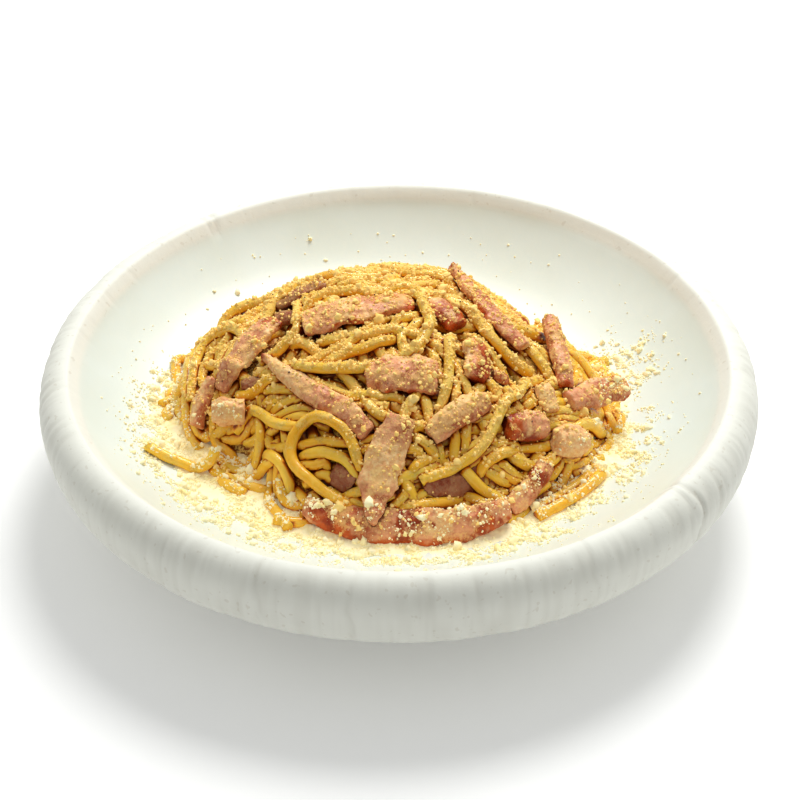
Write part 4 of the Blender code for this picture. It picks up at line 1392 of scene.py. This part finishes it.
def dish_wants(place, facing):
    """Crumbs on the dish thin out from the foot of the heap."""
    radius = math.hypot(place.x, place.y)
    angle = math.atan2(place.y, place.x)
    if facing.z < 0.3 or heap_rise(place.x, place.y) > 4.0 or radius > 103.5:
        return 0.0
    degrees = math.degrees(angle) % 360.0
    drift = noise.noise(Vector((place.x / 6.0, place.y / 6.0, 3.0)))
    if BARE_START < degrees < DRIFT_START:
        return STRAY_SHARE
    if degrees <= BARE_START:
        patch = near_to(place.x, place.y, SIDE_PATCH, 11.0)
        return max(STRAY_SHARE, patch * (0.4 + 1.6 * drift))
    past = max(0.0, radius - float(drift_reach(angle)))
    return (0.5 + 1.5 * drift) * math.exp(-past / 3.0) + STRAY_SHARE


def trees_of(pieces, share=1.0):
    """Search trees of the pieces, each with the share of crumbs that it holds."""
    depsgraph = bpy.context.evaluated_depsgraph_get()
    return [(BVHTree.FromObject(piece, depsgraph), share) for piece in pieces]


def make_crumbs(strands, strips, core, bank, bowl, on_food, on_dish):
    """Grated cheese fallen on the heap and round it: fine grains and fewer large crumbs."""
    made = []
    heap_trees = trees_of(strands + [core]) + trees_of(strips, 0.55)
    dish_trees = (trees_of([bank, bowl]) + trees_of(strands + [core], 0.5)
                  + trees_of(strips, 0.3))
    for name, trees, count, reach, tilt, wants, typical, divisions, material in (
            ("cheese_grains_on_heap", heap_trees, 9500, 76.0, 0.45, heap_wants, 0.62, 1, on_food),
            ("cheese_crumbs_on_heap", heap_trees, 900, 74.0, 0.35, heap_wants, 1.25, 2, on_food),
            ("cheese_grains_on_dish", dish_trees, 9500, 100.0, 0.1, dish_wants, 0.5, 1, on_dish),
            ("cheese_crumbs_on_dish", dish_trees, 800, 98.0, 0.1, dish_wants, 1.15, 2, on_dish)):
        spots, facings = fall_on(trees, count, reach, tilt, wants)
        sizes = crumb_sizes(count, typical, 0.38, typical * 2.4)
        spots = spots + facings * (sizes.mean(axis=1) * 0.10)[:, None]
        tones = chance.random(count)
        made.append(scatter(name, spots, sizes, tones, divisions, material))
    return made


def make_pepper(strands, strips, material):
    """A few specks of ground pepper on the pasta and the bacon."""
    count = 60
    trees = trees_of(strands + strips)
    spots, facings = fall_on(trees, count, 68.0, 0.5, lambda place, facing: 0.5)
    sizes = crumb_sizes(count, 0.5, 0.3, 0.9)
    return scatter("pepper_specks", spots + facings * 0.12, sizes, np.zeros(count), 1,
                   material)


# ---------------------------------------------------------------- the dish

def main():
    make_camera()
    make_floor()
    make_sky()
    add_light("key", (0.18, 0.60, 0.96), 0.60, 11.6, (1.0, 1.0, 0.98))
    bacon_nodes = sorted(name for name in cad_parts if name.startswith("bacon_"))
    bowl = make_bowl(glazed_stoneware())
    core = make_core(sauced_core())
    strands = make_all_strands(sauced_pasta(), bacon_nodes)
    meat = fried_bacon()
    strips = [make_bacon(node, index, meat) for index, node in enumerate(bacon_nodes)]
    note_shelter(strands + strips, [core])
    pale = grated_cheese("cheese_on_dish", colour(254, 243, 200), colour(248, 226, 150))
    warm = grated_cheese("cheese_on_heap", colour(254, 219, 134), colour(246, 192, 86))
    bank = make_cheese_bank(pale)
    make_crumbs(strands, strips, core, bank, bowl, warm, pale)
    make_pepper(strands, strips, black_pepper())


main()
